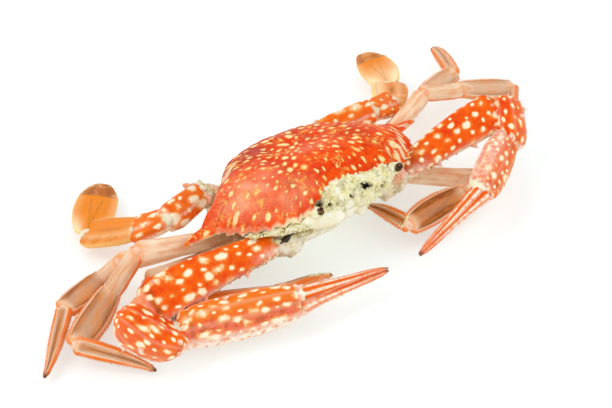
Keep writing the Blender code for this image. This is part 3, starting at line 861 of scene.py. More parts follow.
def row_tree():
    """Tapered points at even steps along guide lines: bristles, or teeth when short and thick."""
    if "tapered_row" in bpy.data.node_groups:
        return bpy.data.node_groups["tapered_row"]
    wires, source, end = new_tree("tapered_row", (
        ("Spacing", "NodeSocketFloat"), ("Length", "NodeSocketFloat"),
        ("Thickness", "NodeSocketFloat"), ("Splay", "NodeSocketFloat"), ("Sides", "NodeSocketInt"),
        ("Seed", "NodeSocketInt"), ("Material", "NodeSocketMaterial")))
    lines = wires.node("GeometryNodeMeshToCurve", {"Mesh": source["Geometry"]})
    places = wires.node("GeometryNodeCurveToPoints", {"Curve": lines.outputs[0],
                                                      "Length": source["Spacing"]}, mode="LENGTH")
    one = wires.node("GeometryNodeMeshCone", {"Vertices": source["Sides"], "Side Segments": 3,
                                              "Radius Top": 0.00002,
                                              "Radius Bottom": source["Thickness"],
                                              "Depth": source["Length"]})
    way = wires.node("GeometryNodeInputNamedAttribute", {"Name": "way"}, data_type="FLOAT_VECTOR")
    size = wires.node("GeometryNodeInputNamedAttribute", {"Name": "size"}, data_type="FLOAT")
    stray = wires.node("FunctionNodeRandomValue", {0: (-1, -1, -1), 1: (1, 1, 1),
                                                   "Seed": source["Seed"]}, data_type="FLOAT_VECTOR")
    stray = wires.node("ShaderNodeVectorMath", {0: stray.outputs[0], "Scale": source["Splay"]},
                       operation="SCALE")
    way = wires.shift("ADD", way.outputs["Attribute"], stray.outputs[0])
    turned = wires.node("FunctionNodeAlignRotationToVector", {"Vector": way}, axis="Z")
    uneven = wires.node("FunctionNodeRandomValue", {2: 0.6, 3: 1.15, "Seed": source["Seed"]},
                        data_type="FLOAT")
    scale = wires.times(size.outputs["Attribute"], uneven.outputs[1])
    stand = wires.node("GeometryNodeInstanceOnPoints", {
        "Points": places.outputs[0], "Instance": one.outputs[0], "Rotation": turned.outputs[0],
        "Scale": scale})
    solid = wires.node("GeometryNodeRealizeInstances", {"Geometry": stand.outputs[0]})
    coated = wires.node("GeometryNodeSetMaterial", {"Geometry": solid.outputs[0],
                                                    "Material": source["Material"]})
    wires.set(end.inputs[0], coated.outputs[0])
    return wires.tree


def crumb_tree():
    """Uneven crumbs strewn over a patch."""
    if "strewn_crumbs" in bpy.data.node_groups:
        return bpy.data.node_groups["strewn_crumbs"]
    wires, source, end = new_tree("strewn_crumbs", (
        ("Density", "NodeSocketFloat"), ("Size", "NodeSocketFloat"), ("Seed", "NodeSocketInt"),
        ("Material", "NodeSocketMaterial")))
    places = wires.node("GeometryNodeDistributePointsOnFaces", {
        "Mesh": source["Geometry"], "Density": source["Density"], "Seed": source["Seed"]})
    one = wires.node("GeometryNodeMeshIcoSphere", {"Radius": source["Size"], "Subdivisions": 3})
    turned = wires.node("FunctionNodeRandomValue", {0: (0, 0, 0), 1: (6.28, 6.28, 6.28),
                                                    "Seed": source["Seed"]},
                        data_type="FLOAT_VECTOR")
    uneven = wires.node("FunctionNodeRandomValue", {0: (0.35, 0.35, 0.3), 1: (1.3, 1.1, 0.9),
                                                    "Seed": source["Seed"]},
                        data_type="FLOAT_VECTOR")
    stand = wires.node("GeometryNodeInstanceOnPoints", {
        "Points": places.outputs[0], "Instance": one.outputs[0], "Rotation": turned.outputs[0],
        "Scale": uneven.outputs[0]})
    solid = wires.node("GeometryNodeRealizeInstances", {"Geometry": stand.outputs[0]})
    rough = wires.noise(wires.node("GeometryNodeInputPosition").outputs[0], 1300.0, 2.0)
    rough = wires.shift("SUBTRACT", rough.outputs["Color"], (0.5, 0.5, 0.5))
    reach = wires.times(source["Size"], 1.6)
    push = wires.node("ShaderNodeVectorMath", {0: rough, "Scale": reach}, operation="SCALE")
    moved = wires.node("GeometryNodeSetPosition", {"Geometry": solid.outputs[0],
                                                   "Offset": push.outputs[0]})
    coated = wires.node("GeometryNodeSetMaterial", {"Geometry": moved.outputs[0],
                                                    "Material": source["Material"]})
    wires.set(end.inputs[0], coated.outputs[0])
    return wires.tree


def grown_piece(name, mesh, tree, values):
    """Run a tree on a guide mesh and keep the result as a plain mesh."""
    piece = bpy.data.objects.new(name, mesh)
    bpy.context.scene.collection.objects.link(piece)
    maker = piece.modifiers.new("maker", "NODES")
    maker.node_group = tree
    sockets = {item.name: item.identifier for item in tree.interface.items_tree
               if item.item_type == "SOCKET" and item.in_out == "INPUT"}
    for label, value in values.items():
        maker[sockets[label]] = value
    ready = piece.evaluated_get(bpy.context.evaluated_depsgraph_get())
    made = bpy.data.meshes.new_from_object(ready)
    piece.modifiers.clear()
    piece.data = made
    made.name = name
    if not len(made.polygons):
        raise RuntimeError(f"{name} came out empty")
    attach(piece, "root")


def tapered_rows(name, lines, spacing, length, thickness, splay, sides, material):
    """Tapered points along lines of (places, directions, sizes)."""
    mesh = bpy.data.meshes.new(name)
    places = np.concatenate([line[0] for line in lines]) * MM
    edges, at = [], 0
    for line in lines:
        edges += [(at + i, at + i + 1) for i in range(len(line[0]) - 1)]
        at += len(line[0])
    mesh.from_pydata(places.tolist(), edges, [])
    way = mesh.attributes.new("way", "FLOAT_VECTOR", "POINT")
    way.data.foreach_set("vector", np.concatenate([line[1] for line in lines])
                         .astype(np.float32).ravel())
    size = mesh.attributes.new("size", "FLOAT", "POINT")
    size.data.foreach_set("value", np.concatenate([line[2] for line in lines]).astype(np.float32))
    grown_piece(name, mesh, row_tree(), {
        "Spacing": spacing, "Length": length, "Thickness": thickness, "Splay": splay,
        "Sides": sides, "Seed": len(name), "Material": material})


def crumb_patch(name, grid, density, seed):
    """Crumbs over a patch of a surface, given as a grid of its places."""
    settings = bpy.context.scene.crab_face
    rows, columns = grid.shape[:2]
    index = np.arange(rows * columns).reshape(rows, columns)
    faces = np.stack([index[:-1, :-1], index[1:, :-1], index[1:, 1:], index[:-1, 1:]], -1)
    mesh = bpy.data.meshes.new(name)
    mesh.from_pydata((grid.reshape(-1, 3) * MM).tolist(), [], faces.reshape(-1, 4).tolist())
    grown_piece(name, mesh, crumb_tree(), {
        "Density": density / MM ** 2, "Size": settings.crumb_size, "Seed": seed,
        "Material": once("crab_curd", curd_finish)})


# ---- Legs ---------------------------------------------------------------------------------------------

LEG_SHAPES = {
    "merus": ((0.0, 6.6, 5.2, 0, 0), (0.07, 7.6, 5.4, 0, 0), (0.40, 9.0, 5.8, 0.3, 0),
              (0.75, 9.4, 6.2, 0.3, 0), (0.94, 9.0, 6.0, 0, 0), (1.0, 8.4, 5.4, 0, 0)),
    "carpus": ((0.0, 6.6, 5.4, 0, 0), (0.12, 7.4, 5.6, 0.2, 0), (0.55, 8.6, 6.0, 0.4, 0),
               (0.88, 8.8, 5.8, 0.3, 0), (1.0, 8.0, 5.2, 0, 0)),
    "propodus": ((0.0, 7.4, 5.0, 0, 0), (0.09, 9.4, 5.2, 0, 0), (0.42, 12.4, 5.4, 0.3, 0),
                 (0.75, 12.2, 5.2, 0.2, 0), (0.93, 9.8, 4.8, 0, 0), (1.0, 8.2, 4.2, 0, 0)),
    "dactyl": ((0.0, 6.8, 4.2, 0, 0), (0.07, 7.4, 4.4, 0.1, 0), (0.30, 7.2, 4.0, 0.5, 0),
               (0.62, 5.4, 3.4, 0.8, 0), (0.86, 2.8, 2.2, 0.6, 0), (1.0, 0.6, 0.6, 0, 0)),
    "blunt": ((0.0, 7.6, 4.2, 0, 0), (0.07, 8.4, 4.4, 0.1, 0), (0.30, 8.8, 4.2, 0.5, 0),
              (0.62, 8.2, 3.8, 0.8, 0), (0.86, 6.4, 2.8, 0.6, 0), (1.0, 3.2, 1.4, 0, 0)),
}
# How brown the outer segments' faces are, and how broad each leg is beside the others.
LEG_BROWN = {("R", "leg2"): 0.9, ("R", "leg3"): 0.85, ("R", "leg4"): 1.0,
             ("L", "leg2"): 1.5, ("L", "leg3"): 0.4, ("L", "leg4"): 0.3}
LEG_BREADTH = {("R", "leg2"): 1.05, ("R", "leg3"): 0.88, ("R", "leg4"): 0.84,
               ("L", "leg2"): 0.86, ("L", "leg3"): 0.78, ("L", "leg4"): 0.72}
RIM_HEIGHT = {"merus": 0.12, "carpus": 0.2, "propodus": 0.42, "dactyl": 0.3}
FACE_HOLLOW = {"merus": 0.05, "carpus": 0.18, "propodus": 0.6, "dactyl": 0.35}
OVERLAP = 1.1               # how far a leg segment runs past its joints


def leg_segment(form, kind, segment, brown, breadth, seed):
    """One walking-leg segment with thick rims and a sunken face."""
    def relief(along, across, top, points):
        rim = ease(0.72, 0.98, abs(across)) * RIM_HEIGHT[kind]
        hollow = ease(0.85, 0.35, abs(across)) * FACE_HOLLOW[kind]
        hollow = hollow * ease(0.06, 0.18, along) * ease(0.97, 0.84, along)
        ridge = 0.0
        if kind == "dactyl":
            ridge = 0.35 * hill(across, 0.0, 0.16) * ease(0.05, 0.2, along)
        collar = 0.3 * hill(along, 0.93, 0.02) + 0.25 * hill(along, 0.07, 0.02)
        return rim - hollow + ridge + collar + 0.08 * crumble(points, 2.4, seed)

    face = {"merus": 0.0, "carpus": 0.30 * brown, "propodus": 0.35 + 0.65 * brown,
            "dactyl": 0.5 * brown + 0.35}[kind]
    edge_at = {"merus": 0.95, "carpus": 0.90, "propodus": 0.83, "dactyl": 0.6}[kind]

    def shade(along, across, top):
        away = abs(across)
        ends = np.clip(hill(along, 0.02, 0.035) + hill(along, 0.975, 0.03), 0, 1)
        middle = ease(0.03, 0.12, along) * ease(0.97, 0.9, along)
        wide = ease(0.0, 0.26, along) * ease(1.0, 0.80, along)
        shades = {
            "edge": ease(edge_at, min(0.995, edge_at + 0.16), away)
            * (0.45 if kind == "merus" else 1.0),
            "brown": face * (0.62 + 0.38 * ease(0.25, 0.75, away)) * ease(0.92, 0.74, away) * wide,
            "dark": hill(away, edge_at - 0.06, 0.05) * middle * (0.1 + 0.7 * face),
            "knee": ends,
        }
        if kind == "dactyl":
            shades["dark"] = np.maximum(shades["dark"], 0.8 * hill(across, 0.0, 0.10)
                                        * ease(0.1, 0.3, along) * ease(0.98, 0.8, along))
            shades["tip"] = ease(0.9, 0.995, along)
            shades["brown"] = face * ease(0.6, 0.25, away) * middle
        return shades

    caps = (0.06, 0.02) if kind == "dactyl" else (0.05, 0.05)
    bow = {"merus": 0.8, "dactyl": 0.6}.get(kind, 0.2)
    after = 0.0 if kind == "dactyl" else OVERLAP
    shape = "blunt" if (kind == "dactyl" and segment.node == "leg4_L_dactyl") else kind
    stations = [(row[0], row[1] * breadth, row[2], row[3], row[4]) for row in LEG_SHAPES[shape]]
    return tube(form, segment.start - segment.axis * OVERLAP, segment.axis,
                segment.length + OVERLAP + after, segment.broad, segment.thin, stations,
                relief=relief, shade=shade, seed=seed, bow=bow, caps=caps, rows=80, columns=52)


def joint_skin(form, place, axis, other, size, seed, **values):
    """The soft skin that fills a joint."""
    along = unit(axis + other) if np.linalg.norm(axis + other) > 0.3 else unit(axis)
    across = np.cross(along, (0.0, 0.0, 1.0))
    across = unit(across) if np.linalg.norm(across) > 0.1 else np.array((1.0, 0.0, 0.0))
    blob(form, place, (along, across, np.cross(along, across)), size, 0.2, seed, **values)


def coxa_skin(form, coxa, reach_on, sizes, seed, orange):
    """A crumpled cream coxa between the body and a limb, painted darker olive underneath as shade."""
    start, end = coxa
    axis = unit(end - start)
    level = unit(np.cross(axis, (0.0, 0.0, 1.0)))
    wide, tall = sizes
    tube(form, start, axis, np.linalg.norm(end - start) + reach_on, level, np.cross(level, axis),
         ((0, 0.8 * wide, 0.8 * tall, 0, 0), (0.3, wide, tall, 0, 0),
          (0.8, 0.96 * wide, 0.96 * tall, 0, 0), (1, 0.7 * wide, 0.7 * tall, 0, 0)),
         rows=48, columns=44, seed=seed,
         relief=lambda along, across, top, points: 0.7 * crumble(points, 3.0, seed)
         + 1.3 * lumps(points, 4.2, seed) - 0.6,
         # The olive crevice tint on the coxa's underside is painted shade.
         shade=lambda along, across, top: {"knee": orange * ease(0.0, 0.6, top)
                                           * ease(0.3, 0.6, along),
                                           "brown": 0.9 + 0.0 * along,
                                           "crevice": 0.15 * ease(0.2, -0.8, top)})


def build_leg(tag, limb):
    """One walking leg in four segments, with skin in its joints and its coxa at the body."""
    segments = limb_segments(tag, limb)
    names = ("merus", "carpus", "propodus", "dactyl")
    seed = 10 * LEGS.index(limb) + (5 if tag == "L" else 0)
    breadth = LEG_BREADTH[tag, limb]
    guides = []
    for k, name in enumerate(names):
        form = Form()
        segment = segments[name]
        points, out = leg_segment(form, name, segment, LEG_BROWN[tag, limb], breadth, seed + k)
        if name in ("propodus", "dactyl"):
            inside = slice(int(0.08 * len(points)), int(0.93 * len(points)))
            for column in (0, 1, -1, points.shape[1] // 2, points.shape[1] // 2 + 1):
                foot, way = points[inside, column], out[inside, column]
                fade = np.sin(np.linspace(0.25, math.pi - 0.2, len(foot)))
                guides.append((foot - way * 0.15, way + 1.3 * segment.axis, 0.4 + 0.6 * fade))
        if (tag, limb, name) == ("L", "leg2", "dactyl"):
            crumb_patch(f"{limb}_{tag}_crumbs", points[:18, 4:24], 0.45, 21)
        elif (tag, limb, name) == ("R", "leg2", "dactyl"):
            crumb_patch(f"{limb}_{tag}_crumbs", points[-36:-3, 2:22], 1.2, 22)
        finish_piece(form, f"{limb}_{tag}_{name}_look", once("leg_shell_looks", leg_finish),
                     [segment.node])
    skin = Form()
    for before, after in zip(names, names[1:]):
        joint_skin(skin, segments[after].start, segments[before].axis, segments[after].axis,
                   (2.3, 2.5 * breadth, 2.2), seed, knee=0.42)
    coxa_skin(skin, segments["coxa"], 1.6, (7.6, 7.2), seed, 0.5)
    finish_piece(skin, f"{limb}_{tag}_skins", once("cream_shell", cream_finish),
                 [f"{limb}_{tag}_coxa"])
    settings = bpy.context.scene.crab_limbs
    tapered_rows(f"{limb}_{tag}_fringe", guides, settings.bristle_spacing, settings.bristle_length,
                 settings.bristle_thickness, 0.3, 4, once("golden_bristle", hair_finish))


# ---- Claws -------------------------------------------------------------------------------------------

CLAW_MERUS = ((0.0, 9, 7.4, 0, 0), (0.10, 11.0, 8.6, -0.4, 0), (0.30, 13.0, 9.8, -1.0, 0.3),
              (0.55, 15.8, 10.8, -1.4, 0.5), (0.80, 17.4, 11.4, -1.2, 0.4),
              (0.93, 16.6, 10.8, -0.9, 0.2), (1.0, 13.6, 9.2, -0.4, 0))
CLAW_CARPUS = {
    "R": ((-0.58, 10.0, 7.0, -8.8, -3.0), (-0.35, 15.0, 11.6, -8.6, -3.6),
          (0.0, 18.4, 14.0, -8.0, -4.3), (0.4, 20.2, 14.6, -7.4, -4.4),
          (0.8, 19.0, 14.2, -6.4, -3.8), (1.15, 15.6, 13.0, -4.8, -2.8),
          (1.42, 11.0, 10.0, -3.4, -1.6)),
    "L": ((-0.45, 6.4, 6.4, -3.0, -1.2), (-0.25, 10.0, 10.6, -3.4, -1.4),
          (0.1, 12.4, 13.0, -3.8, -1.6), (0.5, 13.4, 14.0, -3.6, -1.6),
          (0.9, 13.2, 13.6, -3.0, -1.6), (1.2, 11.8, 12.2, -2.2, -1.0),
          (1.42, 9.0, 9.0, -1.6, -0.8)),
}
CLAW_PALM = {
    "R": ((0.0, 12.6, 10.4, 0, 0), (0.10, 15.8, 12.2, 0, 0.2), (0.22, 17.0, 12.8, 0, 0.2),
          (0.45, 17.8, 13.2, -0.2, 0), (0.72, 16.8, 12.6, -0.2, 0), (0.92, 14.2, 11.0, 0, 0),
          (1.0, 11.4, 9.2, 0, 0)),
    "L": ((0.0, 10.6, 9.4, 0, 0), (0.10, 13.0, 10.8, 0, 0.2), (0.22, 14.4, 11.6, 0, 0.2),
          (0.45, 15.2, 12.4, -0.2, 0), (0.72, 14.4, 12.0, -0.2, 0), (0.92, 12.2, 10.4, 0, 0),
          (1.0, 9.6, 8.6, 0, 0)),
}
# How far round the elbow and the palm their ridges run, in radians.
ELBOW_RIBS = (0.9, 1.7, 2.5, 3.3, 4.3)
PALM_RIBS = (0.25, 0.9, 1.5, 2.1, 2.75, 3.5, 4.2, 5.2)
TEETH_FROM, TEETH_TO = 0.14, 0.9    # shares of a finger between which its teeth stand
# How broad and how far apart the fingers are.
FINGER_FIT = {"R": (0.90, 0.78), "L": (0.80, 0.62)}
FIXED_FINGER = ((-0.03, 8.2, 8.8, -3.4, 0), (0.14, 6.2, 6.8, -2.7, -0.2), (0.35, 4.9, 5.4, -2.1, -0.3),
                (0.60, 3.7, 4.4, -1.6, -0.2), (0.82, 2.7, 3.2, -1.2, 0), (0.95, 1.6, 1.9, -0.8, 0),
                (1.0, 0.7, 0.8, -0.5, 0))
MOVING_FINGER = ((0.0, 6.4, 6.6, 3.2, 0), (0.13, 6.2, 6.6, 3.0, 0.3), (0.35, 4.9, 5.4, 2.4, 0.4),
                 (0.60, 3.7, 4.4, 1.8, 0.3), (0.82, 2.7, 3.3, 1.4, 0), (0.95, 1.6, 2.0, 1.0, 0),
                 (1.0, 0.7, 0.8, 0.7, 0))


def rescaled(stations):
    """Stations over 0 to 1, with the shares where they start and end."""
    first, last = stations[0][0], stations[-1][0]
    return [((row[0] - first) / (last - first), *row[1:]) for row in stations], first, last


def finger_part(form, start, segment, stations, fit, tooth_side, seed):
    """A slim grooved claw finger; returns the guide line of its teeth."""
    slim, close = fit
    table, first, last = rescaled([(row[0], row[1] * slim, row[2] * slim, row[3] * close, row[4])
                                   for row in stations])
    rows = 100

    def relief(along, across, top, points):
        turn = np.arctan2(top, across)
        ribs = 0.5 + 0.5 * np.cos(6 * turn)
        return (0.32 * ribs - 0.1) * ease(1.0, 0.85, along) + 0.05 * crumble(points, 1.6, seed)

    def shade(along, across, top):
        turn = np.arctan2(top, across)
        ribs = 0.5 + 0.5 * np.cos(6 * turn)
        far = ease(0.45, 0.85, along)
        low = ease(-0.1, -0.7, top)
        worn = ease(-0.5, 0.4, np.sin(2.0 * turn + seed) + 0.6 * np.sin(9.0 * along + 3.0 * turn))
        outer = ease(0.1, -0.8, across * tooth_side)
        near = 1.0 - far
        return {"stripe": ease(0.6, 0.95, ribs) * (0.3 + 0.7 * worn) * (1 - 0.6 * low)
                * (1.0 - 0.7 * far) * (1.0 - 0.6 * outer * (tooth_side > 0)),
                "pale": np.clip(ease(0.5, 0.1, ribs) * (1.0 - 0.55 * far) + 0.6 * low
                                + 0.5 * (1 - worn) * near
                                + 0.7 * outer * near * (tooth_side > 0), 0, 1) * 0.85,
                "knee": (0.4 + 0.6 * worn) * near, "pink": 0.1 + 0.9 * far,
                "tip": 0.8 * ease(0.93, 0.985, along)}

    points, out = tube(form, start + segment.axis * segment.length * first, segment.axis,
                       segment.length * (last - first), segment.broad, segment.thin, table,
                       relief=relief, shade=shade, seed=seed, caps=(0.03, 0.015), rows=rows,
                       columns=48, power=0.95)
    column = 0 if tooth_side > 0 else points.shape[1] // 2
    inside = slice(int(TEETH_FROM * rows), int(TEETH_TO * rows))
    share = np.linspace(TEETH_FROM, TEETH_TO, len(points[inside]))
    return points[inside, column] - out[inside, column] * 0.25, out[inside, column], 1.0 - 0.62 * share


def thorns(form, surface, marks, radius, sink, lean, tilt=0.0):
    """Thorns on a segment's surface, at (share along, column, height) each."""
    points, out = surface
    for share, column, tall in marks:
        i = int(share * (len(points) - 1))
        cone(form, points[i, column] - out[i, column] * sink, out[i, column] + tilt, tall, radius,
             lean, grow=points[i, column] / GROW_STEP)


def build_claw(tag):
    """One claw: merus, elbow, ridged palm with its fixed finger, and the moving finger."""
    segments = limb_segments(tag, "claw")
    merus, carpus, palm, finger = (segments[name] for name in NAMES["claw"])
    material = once("spotted_claw", claw_finish)
    seed = 60 if tag == "R" else 80
    form = Form()

    def merus_relief(along, across, top, points):
        corner = 0.55 * hill(across, 0.86, 0.10) + 0.35 * hill(across, -0.86, 0.10)
        socket = 0.5 * hill(along, 0.90, 0.02) - 1.0 * hill(along, 0.95, 0.02)
        return (corner * ease(0.0, 0.2, along) + socket * ease(-0.4, 0.4, top)
                + 0.16 * crumble(points, 3.2, seed))

    def merus_shade(along, across, top):
        under = ease(0.0, -0.5, top)
        rim = hill(across, 0.98, 0.10) * ease(0.25, 0.5, along)
        ragged = 0.6 * ease(0.30, 0.05, along) * ease(0.0, 0.8, across)
        return {"pale": np.clip(under + 0.6 * rim + ragged, 0, 1),
                "edge": 0.4 * hill(along, 0.985, 0.018) + 0.5 * rim,
                "stripe": 0.9 * hill(along, 0.895, 0.014) * ease(-0.2, 0.4, top),
                "dark": 0.9 * hill(along, 0.945, 0.016) * ease(-0.2, 0.5, top)
                + (0.6 * ease(0.34, 0.04, along) if tag == "L" else 0.0 * along),
                "pink": 0.45 * ease(0.55, 0.95, across)}

    points, out = tube(form, merus.at(0.0), merus.axis, merus.length + 1.2, merus.broad, merus.thin,
                       CLAW_MERUS, relief=merus_relief, shade=merus_shade, seed=seed, caps=(0.06, 0.04),
                       power=0.72, rows=120, columns=88,
                       spots={"spacing": 3.8, "sizes": (0.8, 2.2), "stretch": 1.5})
    thorns(form, (points, out), [(share, 2, 3.4) for share in (0.34, 0.60, 0.86)], 1.7, 0.8,
           merus.axis * 0.8, -0.2 * merus.thin)
    thorns(form, (points, out), [(share, 85, 0.9) for share in np.linspace(0.12, 0.5, 7)], 0.8, 0.3,
           merus.axis * 0.3)
    finish_piece(form, f"claw_{tag}_merus_look", material, [merus.node])
    ragged = np.arange(-12, 10) % points.shape[1]
    crumb_patch(f"claw_{tag}_crumbs", points[4:44][:, ragged], 0.16, seed)

    form = Form()
    table, first, last = rescaled(CLAW_CARPUS[tag])

    def carpus_relief(along, across, top, points):
        turn = turn_at(across, top)
        ribs = hills(turn, ELBOW_RIBS, 0.12)
        wave = 0.6 * ripple(points, 7.0, seed + 3)
        return (0.55 * ribs * ease(0.05, 0.25, along) * ease(1.0, 0.85, along) + wave
                + 0.25 * crumble(points, 3.4, seed + 3))

    def carpus_shade(along, across, top):
        turn = turn_at(across, top)
        ribs = np.clip(hills(turn, ELBOW_RIBS, 0.08), 0, 1)
        return {"pale": ease(-0.35, -0.85, top) + 0.5 * hill(along, 0.97, 0.03),
                "pink": 0.7 * ease(0.9, 0.1, top), "edge": 0.25 * ribs,
                "dark": 0.6 * hill(along, 0.90, 0.012) * ease(-0.4, 0.2, top)}

    joint_skin(form, merus.end - merus.thin * 0.6, merus.axis, carpus.axis, (5.6, 6.0, 4.4), seed,
               pink=0.5, edge=0.25)
    surface = tube(form, carpus.start + carpus.axis * carpus.length * first, carpus.axis,
                   carpus.length * (last - first), carpus.broad, carpus.thin, table,
                   relief=carpus_relief, shade=carpus_shade, seed=seed + 3, caps=(0.12, 0.10),
                   power=0.82, rows=100, columns=88,
                   spots={"spacing": 3.0, "sizes": (0.7, 1.7), "stretch": 1.9})
    thorns(form, surface, ((0.50, 44, 2.8), (0.36, 52, 2.2), (0.80, 30, 2.2), (0.74, 8, 2.4)), 1.5,
           0.6, carpus.axis * 0.6)
    finish_piece(form, f"claw_{tag}_elbow_look", material, [carpus.node])

    form = Form()

    def palm_relief(along, across, top, points):
        turn = turn_at(across, top)
        rib = hills(turn, PALM_RIBS, 0.075)
        bead = 0.75 + 0.25 * ripple(points, 1.4, seed)
        fade = ease(0.04, 0.16, along) * ease(1.0, 0.92, along)
        collar = 0.6 * hill(along, 0.06, 0.025) - 0.5 * hill(along, 0.11, 0.02)
        return 0.6 * rib * bead * fade + collar + 0.15 * crumble(points, 3.0, seed + 5)

    def palm_shade(along, across, top):
        turn = turn_at(across, top)
        band = hill(across, -0.15, 0.42) * ease(-0.3, 0.3, top)
        outer = ease(-0.30, -0.85, across) if tag == "R" else 0.5 * ease(0.1, 0.9, across)
        low = outer * 0.9 + ease(-0.1, -0.6, top)
        rib = hills(turn, PALM_RIBS, 0.085)
        facing = across if tag == "R" else -across
        return {"pink": np.clip(band, 0, 1) * (1.0 if tag == "R" else 0.5),
                "pale": np.clip(low, 0, 1) * 0.95,
                "brown": 0.8 * np.clip(band, 0, 1) * ease(0.0, 0.4, top),
                "knee": ease(0.1, 0.5, facing) * ease(-0.2, 0.4, top),
                "edge": 0.28 * np.clip(rib, 0, 1) + 0.5 * hill(along, 0.985, 0.02),
                "dark": 0.5 * hill(along, 0.10, 0.012)}

    surface = tube(form, palm.at(-0.02), palm.axis, palm.length * 1.03, palm.broad, palm.thin,
                   CLAW_PALM[tag], relief=palm_relief, shade=palm_shade, seed=seed + 5,
                   caps=(0.06, 0.05), power=0.78, rows=130, columns=96,
                   spots={"spacing": 3.3, "sizes": (0.7, 2.1), "stretch": 1.8,
                          "calm": lambda along, across, top: 0.8 * hill(across, -0.15, 0.42)})
    thorns(form, surface, ((0.94, 8, 3.2), (0.95, 20, 2.4), (0.94, 88, 2.4), (0.95, 34, 2.0),
                           (0.95, 58, 2.0), (0.42, 6, 2.4)), 1.2, 0.6, palm.axis * 0.8, palm.axis)
    bites = [finger_part(form, palm.end, finger, FIXED_FINGER, FINGER_FIT[tag], 1.0, seed + 7)]
    finish_piece(form, f"claw_{tag}_palm_look", material, [palm.node])

    form = Form()
    bites.append(finger_part(form, palm.end, finger, MOVING_FINGER, FINGER_FIT[tag], -1.0, seed + 8))
    finish_piece(form, f"claw_{tag}_finger_look", material, [finger.node])
    if tag == "R":
        line = bites[0][0][:42] - palm.broad * np.linspace(5.7, 3.6, 42)[:, None]
        strip = [line + palm.thin * high + palm.broad * 0.25 * max(high, 0.0)
                 for high in (-0.5, 0.2, 0.9, 1.6)]
        crumb_patch("claw_R_finger_crumbs", np.stack(strip, 1), 0.55, 23)
    settings = bpy.context.scene.crab_limbs
    tapered_rows(f"claw_{tag}_teeth", bites, settings.tooth_spacing, settings.tooth_size,
                 settings.tooth_size * 0.75, 0.1, 9, once("ivory_tooth", tooth_finish))

    skin = Form()
    joint_skin(skin, palm.at(0.0), palm.axis, palm.axis, (4.0, 5.4, 4.8), seed + 1, crevice=0.4)
    joint_skin(skin, palm.at(1.0, 2.4), palm.axis, palm.axis, (3.0, 3.2, 3.6), seed + 2)
    coxa_skin(skin, segments["coxa"], 2.5, (10.4, 9.4), seed, 0.5 if tag == "L" else 0.1)
    finish_piece(skin, f"claw_{tag}_skins", once("cream_shell", cream_finish),
                 [f"claw_{tag}_coxa"])


# ---- Swimming legs ----------------------------------------------------------------------------------

SWIM_SHAPES = {
    "merus": ((0.0, 8.6, 6.6, 0, 0), (0.14, 10.2, 7.2, 0, 0), (0.50, 11.8, 7.8, 0.2, 0),
              (0.86, 11.6, 7.4, 0.2, 0), (1.0, 10.0, 6.4, 0, 0)),
    "carpus": ((0.0, 8.4, 6, 0, 0), (0.22, 9.8, 6.6, 0, 0), (0.58, 11.2, 6.8, 0.2, 0),
               (0.88, 11.8, 6.4, 0.2, 0), (1.0, 11.0, 5.6, 0, 0)),
    "propodus": ((0.0, 11, 5.2, 0, 0), (0.16, 14.2, 5.4, 0, 0), (0.50, 16.6, 5, 0.3, 0),
                 (0.84, 16.2, 4.4, 0.3, 0), (1.0, 12.6, 3.6, 0, 0)),
    "paddle": ((0.0, 9.6, 3.0, 0, 0), (0.09, 12.6, 2.9, 0, 0), (0.28, 16.6, 2.5, 0.2, 0),
               (0.50, 18.2, 2.2, 0.2, 0), (0.70, 17.0, 1.9, 0.1, 0), (0.86, 13.0, 1.6, 0, 0),
               (0.96, 7.2, 1.3, 0, 0), (1.0, 3.0, 1.1, 0, 0)),
}
LEAF_PADDLE = ((0.0, 9.0, 3.0, 0, 0), (0.10, 12.6, 2.9, 0, 0), (0.28, 16.0, 2.5, -0.1, 0),
               (0.48, 17.2, 2.2, -0.5, 0), (0.68, 15.4, 1.9, -1.2, 0), (0.84, 11.6, 1.6, -2.3, 0),
               (0.95, 7.0, 1.3, -3.2, 0), (1.0, 3.0, 1.1, -3.5, 0))


